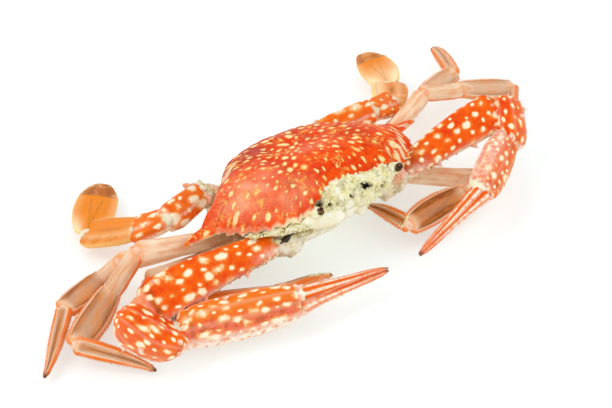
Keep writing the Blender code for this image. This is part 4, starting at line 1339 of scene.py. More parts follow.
def build_swim_leg(tag):
    """One back leg: spotted merus and carpus, broad amber propodus and paddle."""
    segments = limb_segments(tag, "leg5")
    seed = 100 if tag == "R" else 120
    for k, name in enumerate(NAMES["leg5"]):
        form = Form()
        segment = segments[name]
        flat_piece = name in ("propodus", "paddle")

        def relief(along, across, top, points, name=name, flat_piece=flat_piece):
            away = abs(across)
            rim = 0.35 * hill(away, 0.9, 0.08) if flat_piece else 0.5 * hill(away, 0.85, 0.12)
            fold = 0.0
            if name == "paddle":
                fold = 0.3 * hill(along, 0.72, 0.018) + 0.2 * hill(across, 0.0, 0.05)
                fold = fold * ease(0.0, 0.1, along)
            elif name == "propodus":
                fold = -0.6 * ease(0.7, 0.3, away) * ease(0.1, 0.3, along)
                fold = fold + 0.5 * hill(across, 0.25, 0.08)
            else:
                fold = 0.4 * hill(across, 0.1, 0.12) - 0.5 * hill(along, 0.88, 0.03)
            return rim + fold + 0.14 * crumble(points, 3.4, seed)

        def shade(along, across, top, name=name):
            away = abs(across)
            if name == "paddle":
                end_part = ease(0.70, 0.76, along)
                veins = hill(across - 0.5 * (along - 0.1), 0.0, 0.04) + hill(
                    across + 0.5 * (along - 0.1), 0.0, 0.04)
                return {"edge": ease(0.88, 0.98, away) * 0.8 + 0.5 * ease(0.96, 1.0, along),
                        "brown": end_part * (0.85 if tag == "R" else 0.6),
                        "pale": np.clip(0.85 * ease(0.42, 0.02, along) * ease(0.1, 0.8, away)
                                        + 0.25 * ease(0.5, 0.9, away)
                                        + (0.5 * ease(0.7, 0.2, along) if tag == "L" else 0), 0, 1),
                        "dark": np.clip(0.8 * hill(along, 0.725, 0.012) + 0.5 * end_part
                                        * hill(away, 0.55, 0.2)
                                        + 0.4 * veins * ease(0.7, 0.6, along)
                                        * ease(0.02, 0.15, along), 0, 1)}
            if name == "propodus":
                hole = hill(across, 0.1, 0.13) * hill(along, 0.5, 0.2)
                return {"edge": ease(0.80, 0.94, -across) + 0.6 * ease(0.88, 0.98, across),
                        "pale": np.clip(0.35 * hill(across, 0.5, 0.2) + 0.7 * hill(along, 0.0, 0.08)
                                        + (0.7 * ease(0.0, -0.6, across) if tag == "L" else 0), 0, 1),
                        "brown": 0.25 * ease(0.2, 0.6, across),
                        "dark": (0.95 if tag == "L" else 0.45) * hole + 0.5 * hill(across, -0.74, 0.03)}
            streak = hill(across, 0.35, 0.12) * ease(0.2, 0.5, along) * ease(1.0, 0.8, along)
            return {"pale": np.clip(ease(-0.2, -0.7, top) + 0.6 * ease(0.3, 0.8, across)
                                    * ease(0.3, -0.3, top) + 0.5 * streak, 0, 1),
                    "edge": 0.5 * hill(along, 0.98, 0.03) + 0.3 * hill(along, 0.02, 0.04),
                    "knee": 0.5 if name == "merus" else 0.85}

        spots = {"merus": {"spacing": 4.3, "sizes": (0.8, 2.9), "stretch": 1.7},
                 "carpus": {"spacing": 3.9, "sizes": (0.5, 1.5), "stretch": 2.4}}.get(name)
        after = 0.0 if name == "paddle" else 1.3
        tube(form, segment.at(0.0) - segment.axis * 1.3, segment.axis, segment.length + 1.3 + after,
             segment.broad, segment.thin,
             LEAF_PADDLE if (tag, name) == ("L", "paddle") else SWIM_SHAPES[name], relief=relief, shade=shade,
             seed=seed + k, caps=(0.06, 0.05), rows=88, columns=72,
             power=1.0 if flat_piece else 0.76, spots=spots)
        if flat_piece:
            material = once("amber_paddle", paddle_finish)
        else:
            material = once("spotted_claw", claw_finish)
        finish_piece(form, f"leg5_{tag}_{name}_look", material, [segment.node])
    skin = Form()
    for before, after in zip(NAMES["leg5"], NAMES["leg5"][1:]):
        size = (3.2, 3.8, 3.0) if after != "paddle" else (2.2, 3.6, 1.7)
        joint_skin(skin, segments[after].start, segments[before].axis, segments[after].axis, size,
                   seed, crevice=0.3)
    coxa_skin(skin, segments["coxa"], 2.0, (9.6, 9.0), seed, 0.25)
    merus = segments["merus"]
    for k in range(10):
        around = TURN * k / 10.0
        way = merus.broad * math.cos(around) + merus.thin * math.sin(around)
        blob(skin, merus.at(-0.03 + 0.05 * (k % 2)) + way * 3.7,
             (unit(way + 0.5 * merus.axis), merus.axis, np.cross(way, merus.axis)),
             (2.4 + 0.4 * (k % 3), 1.5, 2.3), 0.45, seed + 20 + k, rows=16, columns=20,
             crevice=0.15 + 0.2 * (k % 3), knee=0.5 if k % 4 == 1 else 0.0)
    for k in range(7):
        share = 0.15 + 0.13 * k
        place = segments["coxa"][0] * (1 - share) + segments["coxa"][1] * share
        ruffle = unit(np.array((0.3 * math.sin(5.0 * k), 0.4, 1.0)))
        blob(skin, place + BODY.up * (2.0 + 0.9 * math.sin(3.0 * k)) - BODY.forward * 2.2,
             (ruffle, BODY.side, np.cross(ruffle, BODY.side)), (3.9, 0.9, 2.4), 0.45, seed + k,
             rows=18, columns=24, crevice=0.25 + 0.1 * (k % 3))
    finish_piece(skin, f"leg5_{tag}_skins", once("cream_shell", cream_finish),
                 [f"leg5_{tag}_coxa"])


# ---- Shell ---------------------------------------------------------------------------------------------

TEETH_PER_SIDE = 8
TOOTH_ARC_CENTRE = (20.0, -2.0)
TOOTH_ARC_RADII = (36.3, 31.3)
TOOTH_ARC_SPAN = 80.0               # degrees from the first tooth to the long spine
DOME_MIDDLE = -3.0                  # how far forward the dome's middle lies
DOME_HALF_WIDTH = 57.0
DOME_REACH_BACK, DOME_REACH_AHEAD = 31.0, 38.0
DOME_HEIGHT = 13.0
SPINE_REACH = 70.4
FLANK_LINES = (0.82, 0.865, 0.92, 0.965)    # shares of the way to the edge
SPINE_TO_REAR = ((53.2, 2.4), (57.0, 3.3), (62.5, 1.9), (70.0, -0.2), (62.5, -2.1), (54.5, -4.4),
                 (43.5, -10.6), (36.0, -15.6), (28.6, -22.2), (22.5, -28.0), (13.0, -32.2),
                 (0.0, -33.0))
# The ragged break over the face, from right to left, as (side, forward).
BROKEN_EDGE = ((-24.6, 28.2), (-20.5, 27.0), (-16.0, 25.4), (-11.5, 25.0), (-7.0, 23.0), (-3.0, 24.4),
               (0.0, 25.4), (2.0, 27.2), (5.0, 26.2), (10.0, 24.8), (14.0, 25.6), (17.0, 24.8),
               (20.0, 25.4), (24.6, 26.8))


def smooth_path(corners, step):
    """Evenly spaced places along a smooth line through the corners, without its last one."""
    corners = np.asarray(corners, float)
    run = np.concatenate([[0.0], np.cumsum(np.linalg.norm(np.diff(corners, axis=0), axis=1))])
    at = np.linspace(0.0, run[-1], int(run[-1] / step))[:-1]
    return np.stack([curve_through(run, corners[:, k], at) for k in (0, 1)], -1)


def side_edge(depth, lean):
    """One side of the shell's outline: saw teeth, long spine and flank, to the rear's middle."""
    edge = []
    for tooth in range(TEETH_PER_SIDE):
        for part in np.linspace(0.0, 1.0, 15)[:-1]:
            if part < lean:
                inward = depth * (part / lean) ** 0.85
            else:
                inward = depth * (1.0 - ((part - lean) / (1.0 - lean)) ** 1.25)
            turn = math.radians(TOOTH_ARC_SPAN - TOOTH_ARC_SPAN / TEETH_PER_SIDE * (tooth + part))
            edge.append((TOOTH_ARC_CENTRE[0] + (TOOTH_ARC_RADII[0] - inward) * math.cos(turn),
                         TOOTH_ARC_CENTRE[1] + (TOOTH_ARC_RADII[1] - inward) * math.sin(turn)))
    return np.concatenate([np.array(edge), smooth_path(SPINE_TO_REAR, 0.62)])


def body_patch(side, forward, middle, radii):
    """A soft oval patch on the body."""
    return np.exp(-((side - middle[0]) / radii[0]) ** 2 - ((forward - middle[1]) / radii[1]) ** 2)


def shell_height(side, forward, share, broken):
    """Height of the shell's top, with its lobes and grooves."""
    reach = np.where(forward < DOME_MIDDLE, DOME_REACH_BACK, DOME_REACH_AHEAD)
    spread = np.clip(np.hypot(side / DOME_HALF_WIDTH, (forward - DOME_MIDDLE) / reach), 0.0, 1.0)
    crown = (1.0 - spread ** 3.2) ** 0.62
    edge = -0.4 + 2.0 * np.clip(-forward / 25.0, 0.0, 1.0)
    roll = 1.0 - share ** 14 * (1.0 - broken) - share ** 8 * broken * (0.52 + 0.16 * ease(0, 6, side))
    height = edge + (DOME_HEIGHT - edge) * crown * roll + 1.4 * (1.0 - share ** 6)
    inner = ease(1.0, 0.8, share)
    out = abs(side)
    height += inner * (0.9 * body_patch(out, forward, (31, 2), (11, 10))
                       + 0.7 * body_patch(side, forward, (0, 10), (11, 7))
                       + 0.5 * body_patch(side, forward, (0, -14), (9, 7))
                       - 1.0 * body_patch(out, forward, (17.5, 6), (3.4, 13))
                       - 0.8 * body_patch(out, forward, (9.5, -9), (2.4, 7))
                       - 0.5 * body_patch(side, forward, (0, -4.5), (7, 1.6))
                       - 4.4 * body_patch(side, forward, (45, -6), (15, 12)))
    spine = ease(50.0, 56.0, out)
    slim = np.clip((SPINE_REACH - out) / 14.0, 0.04, 1.0)
    height += spine * (1.5 * slim * np.clip(1.0 - ((forward + 0.1) / (3.4 * slim)) ** 2, 0, 1)
                       - 0.4 * (1.0 - slim))
    return height - 0.75 * ease(0.965, 1.0, share) * (1.0 - broken)


def build_shell():
    """The domed shell: saw teeth, long spines, spots, and the ragged break over the face."""
    settings = bpy.context.scene.crab_shell
    right = side_edge(2.7, 0.45)[::-1] * (-1.0, 1.0)
    left = side_edge(3.3, 0.40)
    front = smooth_path(BROKEN_EDGE, 0.5)
    level = np.stack([front[:, 0], front[:, 1], 0 * front[:, 0]], -1)
    front[:, 1] += 0.75 * ripple(level, 1.7, 3) + 0.35 * ripple(level, 0.8, 4)
    outline = np.concatenate([front, left, [(0.0, -33.0)], right[:-1]])
    broken = np.zeros(len(outline))
    broken[:len(front)] = 1.0
    distance = np.maximum(abs(outline[:, 0]) - 24.6, 0.0) + 40.0 * (outline[:, 1] < 0)
    broken = np.maximum(broken, ease(4.0, 0.0, distance) * 0.999)
    middle = np.array((0.0, DOME_MIDDLE))

    def at(share):
        return middle + (outline - middle) * share

    rings, shares, under = [], [], []
    for share in (0.02, 0.3, 0.6, 0.8, 0.9, 0.95, 0.985):
        place = at(share)
        top = shell_height(place[:, 0], place[:, 1], share, broken)
        floor = np.where(broken > 0.5, -2.0 + (top + 1.1) * ease(0.88, 0.98, share), -2.0)
        rings.append(BODY.place(place[:, 0], place[:, 1], np.minimum(floor, top - 0.5)))
        shares.append(share)
        under.append(1.0)
    place = at(1.0)
    top = shell_height(place[:, 0], place[:, 1], 1.0, broken)
    rings.append(BODY.place(place[:, 0], place[:, 1],
                            np.where(broken > 0.5, top - 0.9, np.minimum(-1.5, top - 0.3))))
    shares.append(1.0)
    under.append(1.0)
    for share in 1.0 - 0.985 * np.linspace(0.0, 1.0, settings.rings) ** 1.25:
        place = at(share)
        height = shell_height(place[:, 0], place[:, 1], share, broken)
        flat = np.stack([place[:, 0], place[:, 1], 0 * height], -1)
        height = height + 0.16 * crumble(flat, 2.6, 8) * ease(1.0, 0.9, share)
        height = height + 0.35 * crumble(flat, 9.0, 9) * ease(1.0, 0.85, share)
        rings.append(BODY.place(place[:, 0], place[:, 1], height))
        shares.append(share)
        under.append(0.0)
    rings = np.array(rings)
    shares = np.repeat(np.array(shares)[:, None], len(outline), 1)
    under = np.repeat(np.array(under)[:, None], len(outline), 1)
    relative = rings - BODY.origin
    side, forward = relative @ BODY.side, relative @ BODY.forward

    top_rows = slice(8, None)
    flat = rings[top_rows].reshape(-1, 3)
    lead = np.gradient(rings[top_rows], axis=0).reshape(-1, 3)
    lead = lead / (np.linalg.norm(lead, axis=1, keepdims=True) + 1e-9)
    rim = shares[top_rows].ravel()
    s, f = side[top_rows].ravel(), forward[top_rows].ravel()
    longer = 1.25 + 1.5 * ease(0.62, 0.95, rim) * ease(26.0, 14.0, f) + 0.5 * ease(6.0, -14.0, f)
    calm = 1.0 - 0.55 * body_patch(s, f, (-40, 8), (12, 9)) - 0.5 * body_patch(s, f, (22, 10), (8, 8))
    calm *= ease(0.995, 0.97, rim)
    field = np.full(shares.shape, -1.0)
    field[top_rows] = spot_field(flat, lead, settings.spot_seed, settings.spot_spacing,
                                 (0.6, settings.spot_size), longer,
                                 weight=calm, faint=0.22).reshape(field[top_rows].shape)

    turn = np.arctan2(forward + 2.0, abs(side) - 20.0 * ease(0.0, 20.0, abs(side)))
    toothed = ease(0.02, 0.12, turn) * ease(1.42, 1.30, turn)
    beat = 0.5 + 0.5 * np.cos(turn * 36.0 * 2.0 + 0.6 * np.sin(9.0 * turn))
    left = ease(0.0, 10.0, side)
    lace = toothed * ease(0.86, 0.93, shares) * ease(0.55, 0.85, beat) * left
    ragged = 0.012 * crumble(rings, 2.4, 33)
    lace = lace + (1.1 * toothed * ease(0.976, 0.988, shares + ragged) * (1 - left)
                   * (0.25 + 0.75 * ease(-46.0, -34.0, side)))
    flank = ease(-2.0, -7.0, forward)
    wander = 0.02 * crumble(rings, 12.0, 44) + 0.006 * crumble(rings, 4.0, 45)
    pale_line = flank * hills(shares + wander, FLANK_LINES, 0.010)
    pale_line = pale_line * ease(10.0, -16.0, side) * ease(-0.25, 0.35, crumble(rings, 7.0, 46))
    speckle = 0.75 + 0.25 * crumble(rings, 3.5, 21)
    pink = (1.05 * body_patch(side, forward, (-39, 9), (13, 11))
            + 0.6 * body_patch(side, forward, (-26, 20), (9, 6))
            + 0.45 * body_patch(side, forward, (0, 5), (9, 5))
            + 0.4 * body_patch(side, forward, (41, 7), (9, 8)))
    mauve = (0.85 * body_patch(side, forward, (22, 9), (6, 9))
             + 0.85 * ease(-8.0, -20.0, forward)
             + 0.9 * ease(-3.0, -12.0, forward) * ease(-2.0, -16.0, side)
             + 0.6 * body_patch(side, forward, (34, -6), (12, 6)))
    marks = (body_patch(side, forward, (-11, -12), (2.2, 5)) + body_patch(side, forward, (9.5, -9), (1.8, 6))
             + 0.8 * body_patch(side, forward, (-19, 6), (2.0, 8))
             + 0.7 * body_patch(side, forward, (-25, 18), (4, 2))
             + 0.6 * body_patch(side, forward, (0, -4.5), (8, 1.3)))
    form = Form()
    radial = np.log(np.maximum(shares, 0.05)) * 2.6
    around = np.arctan2(forward - DOME_MIDDLE, side)
    grow = np.stack([radial, 3.0 * np.cos(around), 3.0 * np.sin(around)], -1)
    loft(form, rings, grow=grow, spot=field * (1 - under) - under, pale=under,
         pink=np.clip(pink * speckle, 0, 1) * ease(1.0, 0.93, shares),
         dark=np.clip(mauve * speckle, 0, 1),
         crevice=np.clip(marks * speckle, 0, 1),
         stripe=np.clip(toothed * ease(0.7, 0.9, shares) * (0.3 + 0.7 * left)
                        + flank * ease(0.55, 0.8, shares) * ease(-24.0, 0.0, side), 0, 1),
         edge=np.clip(0.85 * lace + pale_line, 0, 1),
         tip=ease(66.5, 69.5, abs(side)))
    finish_piece(form, "shell_look", once("spotted_shell", shell_finish), ["shell"])
    margin = np.flatnonzero((outline[:, 0] < -24) & (outline[:, 0] > -47) & (outline[:, 1] > 5))
    crumb_patch("margin_crumbs", rings[4:9][:, margin[0]:margin[-1]], 0.10, 9)


# ---- Body, face, eyes and mouth -------------------------------------------------------------------------

BELLY_RINGS = ((-2.45, 46.6, 24.4, 28.0), (-4.6, 45.0, 25.4, 28.0), (-7.0, 42.0, 25.2, 27.6),
               (-10.0, 38.6, 23.8, 27.2), (-13.0, 35.0, 20.6, 26.5), (-16.0, 31.0, 17.0, 25.6),
               (-18.5, 27.0, 14.0, 24.5))


def build_belly():
    """The cream body under the shell: folded flanks, crumbly front, ribbed sternum, tail flap; painted shade
    in its grooves and gaps and in a dark spot under the right margin.
    """
    columns = 240
    turn = full_turn(columns)
    across = np.sign(np.cos(turn)) * abs(np.cos(turn)) ** 0.8
    ahead = np.sign(np.sin(turn)) * abs(np.sin(turn)) ** 0.7
    table = np.array(BELLY_RINGS)
    rings, heights, kind = [], [], []
    for share in np.linspace(0.04, 1.0, 12):
        reach = np.where(ahead > 0, table[0, 2], table[0, 3])
        rings.append(BODY.place(table[0, 1] * across * share, reach * ahead * share,
                                table[0, 0] + 0 * turn))
        heights.append(table[0, 0])
        kind.append(0.0)
    for up in np.linspace(table[0, 0], table[-1, 0], 46)[1:]:
        half, front, rear = (np.interp(-up, -table[:, 0], table[:, k]) for k in (1, 2, 3))
        reach = np.where(ahead > 0, front, rear)
        rings.append(BODY.place(half * across, reach * ahead, up + 0 * turn))
        heights.append(up)
        kind.append(1.0)
    last = rings[-1]
    middle = np.array((BODY.origin[0], BODY.origin[1] + 8.0, 0.0))
    foot = middle + np.stack([17.0 * np.cos(turn), -15.0 * np.sin(turn), 0 * turn], -1)
    for share in np.linspace(0, 1, 13)[1:]:
        bulge = 2.0 * math.sin(math.pi * share) ** 0.8
        ring = last + (foot - last) * share
        out = ring - middle
        out[:, 2] = 0
        rings.append(ring + out / np.linalg.norm(out, axis=1, keepdims=True) * bulge)
        heights.append(table[-1, 0] - share)
        kind.append(1.0 - share)
    for share in np.linspace(1.0, 0.04, 16)[1:]:
        rings.append(middle + (foot - middle) * share)
        heights.append(-40.0)
        kind.append(0.0)
    rings = np.array(rings)
    kind = np.repeat(np.array(kind)[:, None], columns, 1)
    heights = np.repeat(np.array(heights)[:, None], columns, 1)
    out = rings - BODY.place(0.0, 0.0, -8.0)
    flat_out = out - (out @ BODY.up)[..., None] * BODY.up
    flat_out = flat_out / (np.linalg.norm(flat_out, axis=-1, keepdims=True) + 1e-6)
    frontal = ease(8.0, 20.0, (rings - BODY.origin) @ BODY.forward)
    side = (rings - BODY.origin) @ BODY.side
    folds = np.sin(1.25 * heights + 0.35 * side + 1.5 * ripple(rings, 9.0, 5))
    clots = lumps(rings, 3.6, 7) - 0.5 + 0.6 * crumble(rings, 2.2, 17)
    seams = hill(np.sin(5.5 * turn)[None] + 0 * kind, 0.0, 0.10)
    push = kind * (0.45 * folds * (1 - frontal) + 1.1 * clots * frontal
                   + 0.35 * crumble(rings, 5.0, 3) - 0.7 * seams * (1 - frontal))
    rings = rings + flat_out * push[..., None]
    below = heights < -30
    rings[..., 2] = np.where(below, 0.35 * seams * below, np.maximum(rings[..., 2], 0.02))
    form = Form()
    # Olive darkening in the flank grooves and in the gaps between the front's lumps is painted shade; the
    # broad noisy patches are stains.
    groove_shade_and_stain = np.clip(0.5 * seams * kind + frontal * ease(0.0, -0.5, clots) * kind
                    + 0.5 * ease(0.3, 0.7, crumble(rings, 8.0, 41)) * kind, 0, 1)
    orange_hip = body_patch(side, (rings - BODY.origin) @ BODY.forward, (36, 26), (3, 5)) * kind
    # A dark brown spot under the right margin: painted shade of the cavity there.
    hole = hill(np.linalg.norm(rings - BODY.place(-40.6, 22.0, -4.6), axis=-1), 0.0, 2.4)
    loft(form, rings, grow=rings / GROW_STEP, crevice=groove_shade_and_stain, knee=np.clip(0.8 * orange_hip, 0, 1),
         dark=np.clip(1.6 * hole, 0, 1) * kind, brown=0.85 * frontal * kind)
    flap = []
    for share in np.linspace(0.0, 1.0, 60):
        half = 9.0 * (1 - share) ** 0.75 + 0.5
        ring_turn = full_turn(40)
        joint = 0.35 * abs(math.sin(share * 6 * math.pi)) ** 0.5
        start, end = middle + (0, 14.0, 0.9), middle + (0, -9.0, 0.55)
        place = start + (end - start) * share
        flap.append(place + np.stack([half * np.cos(ring_turn), 0 * ring_turn,
                                      (0.35 + joint * 0.5) * np.sin(ring_turn)], -1))
    loft(form, np.array(flap), grow=np.array(flap) / GROW_STEP, crevice=0.25)
    start, end = BODY.place(-29.0, 27.0, -3.0), BODY.place(-11.5, 30.2, -6.4)
    lengthwise = unit(end - start)
    level = unit(np.cross(lengthwise, BODY.up))
    blob(form, (start + end) / 2, (lengthwise, level, np.cross(lengthwise, level)),
         (10.6, 2.0, 3.5), 0.05, 43)
    finish_piece(form, "body_look", once("cream_shell", cream_finish), ["belly"])
    front = np.flatnonzero((ahead > 0.45) & (across < 0.3))
    crumb_patch("body_crumbs", rings[14:52:2][:, front[0]:front[-1]:2], 0.10, 3)
    build_margin_curd()


def build_margin_curd():
    """A band of grainy curd under the shell's right margin, with a dark blob painted in as the shade of the
    hollow there.
    """
    rows, columns = 110, 60
    share = np.linspace(0.0, 1.0, rows)
    side = -50.0 + 27.0 * share
    forward = -3.6 + 31.3 * np.sqrt(np.clip(1.0 - ((-side - 20.0) / 36.3) ** 2, 0.0, 1.0))
    middle = BODY.place(side, forward, -2.7 - 1.4 * share)
    swell = np.sqrt(np.clip(1.0 - abs(2.0 * share - 1.0) ** 3, 0.0, 1.0))[:, None] + 0.02
    turn = full_turn(columns)[None]
    half = (0.5 + 1.4 * share)[:, None] * swell
    points = (middle[:, None] + (half * np.sin(turn))[..., None] * BODY.up
              + (1.7 * swell * np.cos(turn))[..., None] * BODY.forward)
    out = np.sin(turn)[..., None] * BODY.up + np.cos(turn)[..., None] * BODY.forward
    clots = lumps(points, 2.2, 65) + 0.5 * crumble(points, 1.2, 66)
    points = points + out * (0.9 * clots - 0.5)[..., None]
    form = Form()
    # Darker olive in the gaps between clots is painted shade, over a light olive tint everywhere.
    loft(form, points, grow=points / GROW_STEP, crevice=0.25 + 0.75 * ease(0.75, 0.1, clots))
    slope = unit(BODY.side + 0.35 * BODY.up)
    ahead = unit(BODY.forward - (BODY.forward @ slope) * slope)
    # A near-black blob that stands in for the shade of the hollow under the margin.
    blob(form, BODY.place(-33.5, 22.0, -6.6), (slope, ahead, np.cross(slope, ahead)),
         (4.0, 1.3, 1.2), 0.6, 68, dark=0.96)
    for k in range(9):
        place = BODY.place(-39.0 + 1.9 * k, 20.6 + 0.32 * k, -8.2 + 0.25 * (k % 2) - 0.1 * k)
        blob(form, place, (slope, ahead, np.cross(slope, ahead)),
             (1.5 + 0.3 * (k % 3), 1.5, 1.3 + 0.2 * (k % 2)), 0.4, 70 + k, rows=16, columns=20,
             crevice=0.2 + 0.25 * (k % 3))
    finish_piece(form, "margin_curd", once("crab_curd", curd_finish), [])
    crumb_patch("rim_crumbs", points[6:-6][:, np.arange(-16, 18)], 0.5, 67)


def build_face():
    """The crumbly curd that shows where the front is broken away, with its hollows painted near-black as
    shade.
    """
    rows, columns = 190, 150
    side = np.linspace(-25.0, 25.5, rows)[:, None]
    turn = full_turn(columns)[None]
    full = (1.0 - np.clip(abs(side) / 25.6, 0, 1) ** 7) ** 0.5
    full = np.maximum(full, 0.03)
    top = 5.6 - 0.0040 * side ** 2 + 0.5 * np.sin(0.42 * side) - 1.5 * ease(0.0, 6.0, side)
    low = -10.6 + 0.012 * side ** 2 - 0.05 * side
    ahead = np.sign(np.cos(turn)) * abs(np.cos(turn)) ** 0.75
    lift = np.sign(np.sin(turn)) * abs(np.sin(turn)) ** 0.7
    reach = np.where(ahead > 0, 6.0, 5.0)
    forward = 24.2 + reach * full * ahead + 0.10 * np.where(lift < 0, lift, 0) * 6.0
    up = (top + low) / 2 + (top - low) / 2 * full * lift
    up = up - 0.28 * np.maximum(forward - 23.0, 0.0) * ease(0.0, 0.8, lift)
    points = BODY.place(side + 0 * turn, forward, up)
    out = (ahead / 6.0)[..., None] * BODY.forward + (lift / 8.5)[..., None] * BODY.up + 0 * points
    out = out / np.linalg.norm(out, axis=-1, keepdims=True)
    settings = bpy.context.scene.crab_face
    clots = 1.15 * lumps(points, 3.4, 5) + 0.75 * lumps(points, 1.7, 15) + 0.45 * crumble(points, 1.1, 25)
    push = settings.roughness * (clots - 1.0)
    # The hollows are sunk into the curd and painted near-black as shade.
    hollows_painted_shade = np.zeros(points.shape[:2])
    place_side, place_up = side + 0 * turn, up
    wobble = 0.9 * ripple(points, 2.0, 31)
    for middle, radii, tilt in (((4.6, 0.0), (3.9, 1.5), -0.32), ((-4.6, -0.6), (1.5, 0.9), -0.3),
                                ((-20.6, 2.6), (2.6, 2.2), 0.0), ((-16.6, 0.2), (1.3, 0.8), 0.3),
                                ((13.5, -3.6), (1.0, 0.7), 0.0)):
        a = (place_side - middle[0]) + tilt * (place_up - middle[1])
        b = (place_up - middle[1]) - tilt * (place_side - middle[0])
        gap = np.hypot(a / radii[0], b / radii[1]) + 0.25 * wobble
        hollows_painted_shade = np.maximum(hollows_painted_shade, ease(1.15, 0.75, gap))
    hollows_painted_shade = hollows_painted_shade * ease(0.2, 0.6, ahead)
    points = points + out * (push - 2.6 * hollows_painted_shade)[..., None]
    # cracks: darker olive in the gaps between lumps, which is painted shade, plus noisy stains.
    cracks = ease(0.55, 0.15, lumps(points, 3.4, 5)) * 0.6 + ease(0.2, -0.5, crumble(points, 2.6, 51)) * 0.5
    form = Form()
    loft(form, points, grow=points / GROW_STEP, crevice=np.clip(cracks, 0, 1),
         dark=np.clip(hollows_painted_shade * 1.3, 0, 1))
    finish_piece(form, "curd_look", once("crab_curd", curd_finish), ["face_curd"])
    front = (np.arange(-28, 52) % columns)
    crumb_patch("curd_crumbs", points[8:-8][:, front], settings.crumbs, 5)


def build_eyes():
    """The two dull eyes on short stubs in their sockets."""
    for tag in SIDES:
        points = solid_points(f"eye_{tag}")
        middle = points.mean(0)
        form = Form()
        reach = unit(BODY.forward * 0.55 + BODY.up * 0.8)
        level = BODY.side
        other = np.cross(reach, level)
        blob(form, middle - BODY.up * 0.3, (reach, level, other), (2.0, 1.8, 1.6), 0.22, 3)
        finish_piece(form, f"eye_{tag}_look", once("dull_eye", eye_finish), [f"eye_{tag}"])
        stub = Form()
        blob(stub, middle - BODY.forward * 2.4 - BODY.up * 1.2, (reach, level, other),
             (2.0, 2.6, 2.4), 0.45, 13, crevice=0.12)
        finish_piece(stub, f"eye_{tag}_stub", once("crab_curd", curd_finish), [])


def build_mouth():
    """The two white plates that close the mouth."""
    for tag in SIDES:
        form = Form()
        rings = []
        for share in np.linspace(0, 1, 44):
            up = (-1.6 if tag == "R" else -3.6) - 8.2 * share
            half = (3.3 if tag == "R" else 2.9) * math.sqrt(max(0.0, 1 - abs(2 * share - 1) ** 3.0)) + 0.15
            thick = 1.5 * math.sqrt(max(0.0, 1 - abs(2 * share - 1) ** 4.0)) + 0.1
            turn = full_turn(40)
            side = (-6.2 if tag == "R" else 1.2) + half * np.cos(turn)
            ahead = 30.0 - 1.2 * share + thick * np.sin(turn) * (1 - 0.25 * np.cos(turn) ** 2)
            rings.append(BODY.place(side, ahead, up + 0 * side))
        rings = np.array(rings)
        centre = rings.mean(1, keepdims=True)
        rings = rings + 0.05 * crumble(rings, 1.8, 9)[..., None] * unit(BODY.forward)
        bend = abs(np.linspace(0, 1, 44) - 0.42)[:, None]
        fold = 0.25 * hill(bend, 0.0, 0.03)
        rings = centre + (rings - centre) * (1.0 - fold[..., None])
        loft(form, rings, grow=rings / GROW_STEP,
             crevice=0.15 + 0.5 * hill(bend, 0.0, 0.02) + 0 * rings[..., 0])
        finish_piece(form, f"mouth_{tag}_look", once("cream_shell", cream_finish),
                     [f"mouth_plate_{tag}"])


# ---- Floor, light and camera ------------------------------------------------------------------------

CAMERA_AIM = (0.00884, 0.00138, 0.0)    # from the box's middle to where the camera looks, in metres
SENSOR_WIDTH = 36.0                     # millimetres
FLOOR_DROP = 0.0002                     # how far under the crab the floor lies, in metres

def floor_finish():
    """Plain white board with a barely uneven tone."""
    finish = Finish("white_board", 0.6, specular=0.2)
    finish.shader.inputs["Emission Color"].default_value = (0.97, 1.0, 0.99, 1.0)
    finish.shader.inputs["Emission Strength"].default_value = 0.45
    wires = finish.wires
    tone = wires.noise(finish.place, 2.0, 2.0).outputs["Fac"]
    colour = wires.mix(tone, paint(194, 199, 199), paint(200, 204, 204))
    fine = wires.noise(finish.place, 900.0, 2.0).outputs["Fac"]
    return finish.done(colour, fine, 0.02)


def soft_lamp(name, place, power, size, target):
    """A large soft lamp that looks at the target."""
    lamp = bpy.data.lights.new(name, "AREA")
    lamp.shape = "DISK"
    lamp.size = size
    lamp.energy = power
    holder = bpy.data.objects.new(name, lamp)
    holder.location = place
    holder.rotation_euler = (Vector(place) - target).to_track_quat("Z", "Y").to_euler()
    bpy.context.scene.collection.objects.link(holder)


def build_stage():
    """White floor, bright surroundings, soft lamps and the camera."""
    settings = bpy.context.scene.crab_stage
    scene = bpy.context.scene
    mesh = bpy.data.meshes.new("floor")
    reach = 4.0
    cells = 8
    line = np.linspace(-reach, reach, cells + 1)
    places = [(x, y, -FLOOR_DROP) for y in line for x in line]
    faces = [(j * (cells + 1) + i, j * (cells + 1) + i + 1, (j + 1) * (cells + 1) + i + 1,
              (j + 1) * (cells + 1) + i) for j in range(cells) for i in range(cells)]
    mesh.from_pydata(places, [], faces)
    mesh.materials.append(floor_finish())
    floor = bpy.data.objects.new("floor", mesh)
    scene.collection.objects.link(floor)

    low, high = SOLID_BOX
    target = Vector(((low[0] + high[0]) / 2, (low[1] + high[1]) / 2, 0.0)) + Vector(CAMERA_AIM)
    world = bpy.data.worlds.new("bright_room")
    world.use_nodes = True
    world.node_tree.nodes["Background"].inputs["Color"].default_value = (0.97, 0.99, 1.0, 1.0)
    world.node_tree.nodes["Background"].inputs["Strength"].default_value = settings.room
    scene.world = world
    soft_lamp("window_light", (-0.9, 0.5, 1.3), settings.key, 0.9, target)
    soft_lamp("fill_light", (0.5, -1.3, 0.9), settings.fill, 1.2, target)

    turn, lift = settings.camera_turn, settings.camera_lift
    back = Vector((math.sin(turn) * math.cos(lift), -math.cos(turn) * math.cos(lift),
                   math.sin(lift)))
    lens = bpy.data.cameras.new("camera")
    lens.lens = settings.lens
    lens.sensor_width = SENSOR_WIDTH
    lens.clip_start = 0.01
    camera = bpy.data.objects.new("camera", lens)
    camera.location = target + back * settings.camera_distance
    camera.rotation_euler = back.to_track_quat("Z", "Y").to_euler()
    scene.collection.objects.link(camera)
    scene.camera = camera
    scene.view_settings.view_transform = "Standard"


# ---- Settings the user may change -------------------------------------------------------------------

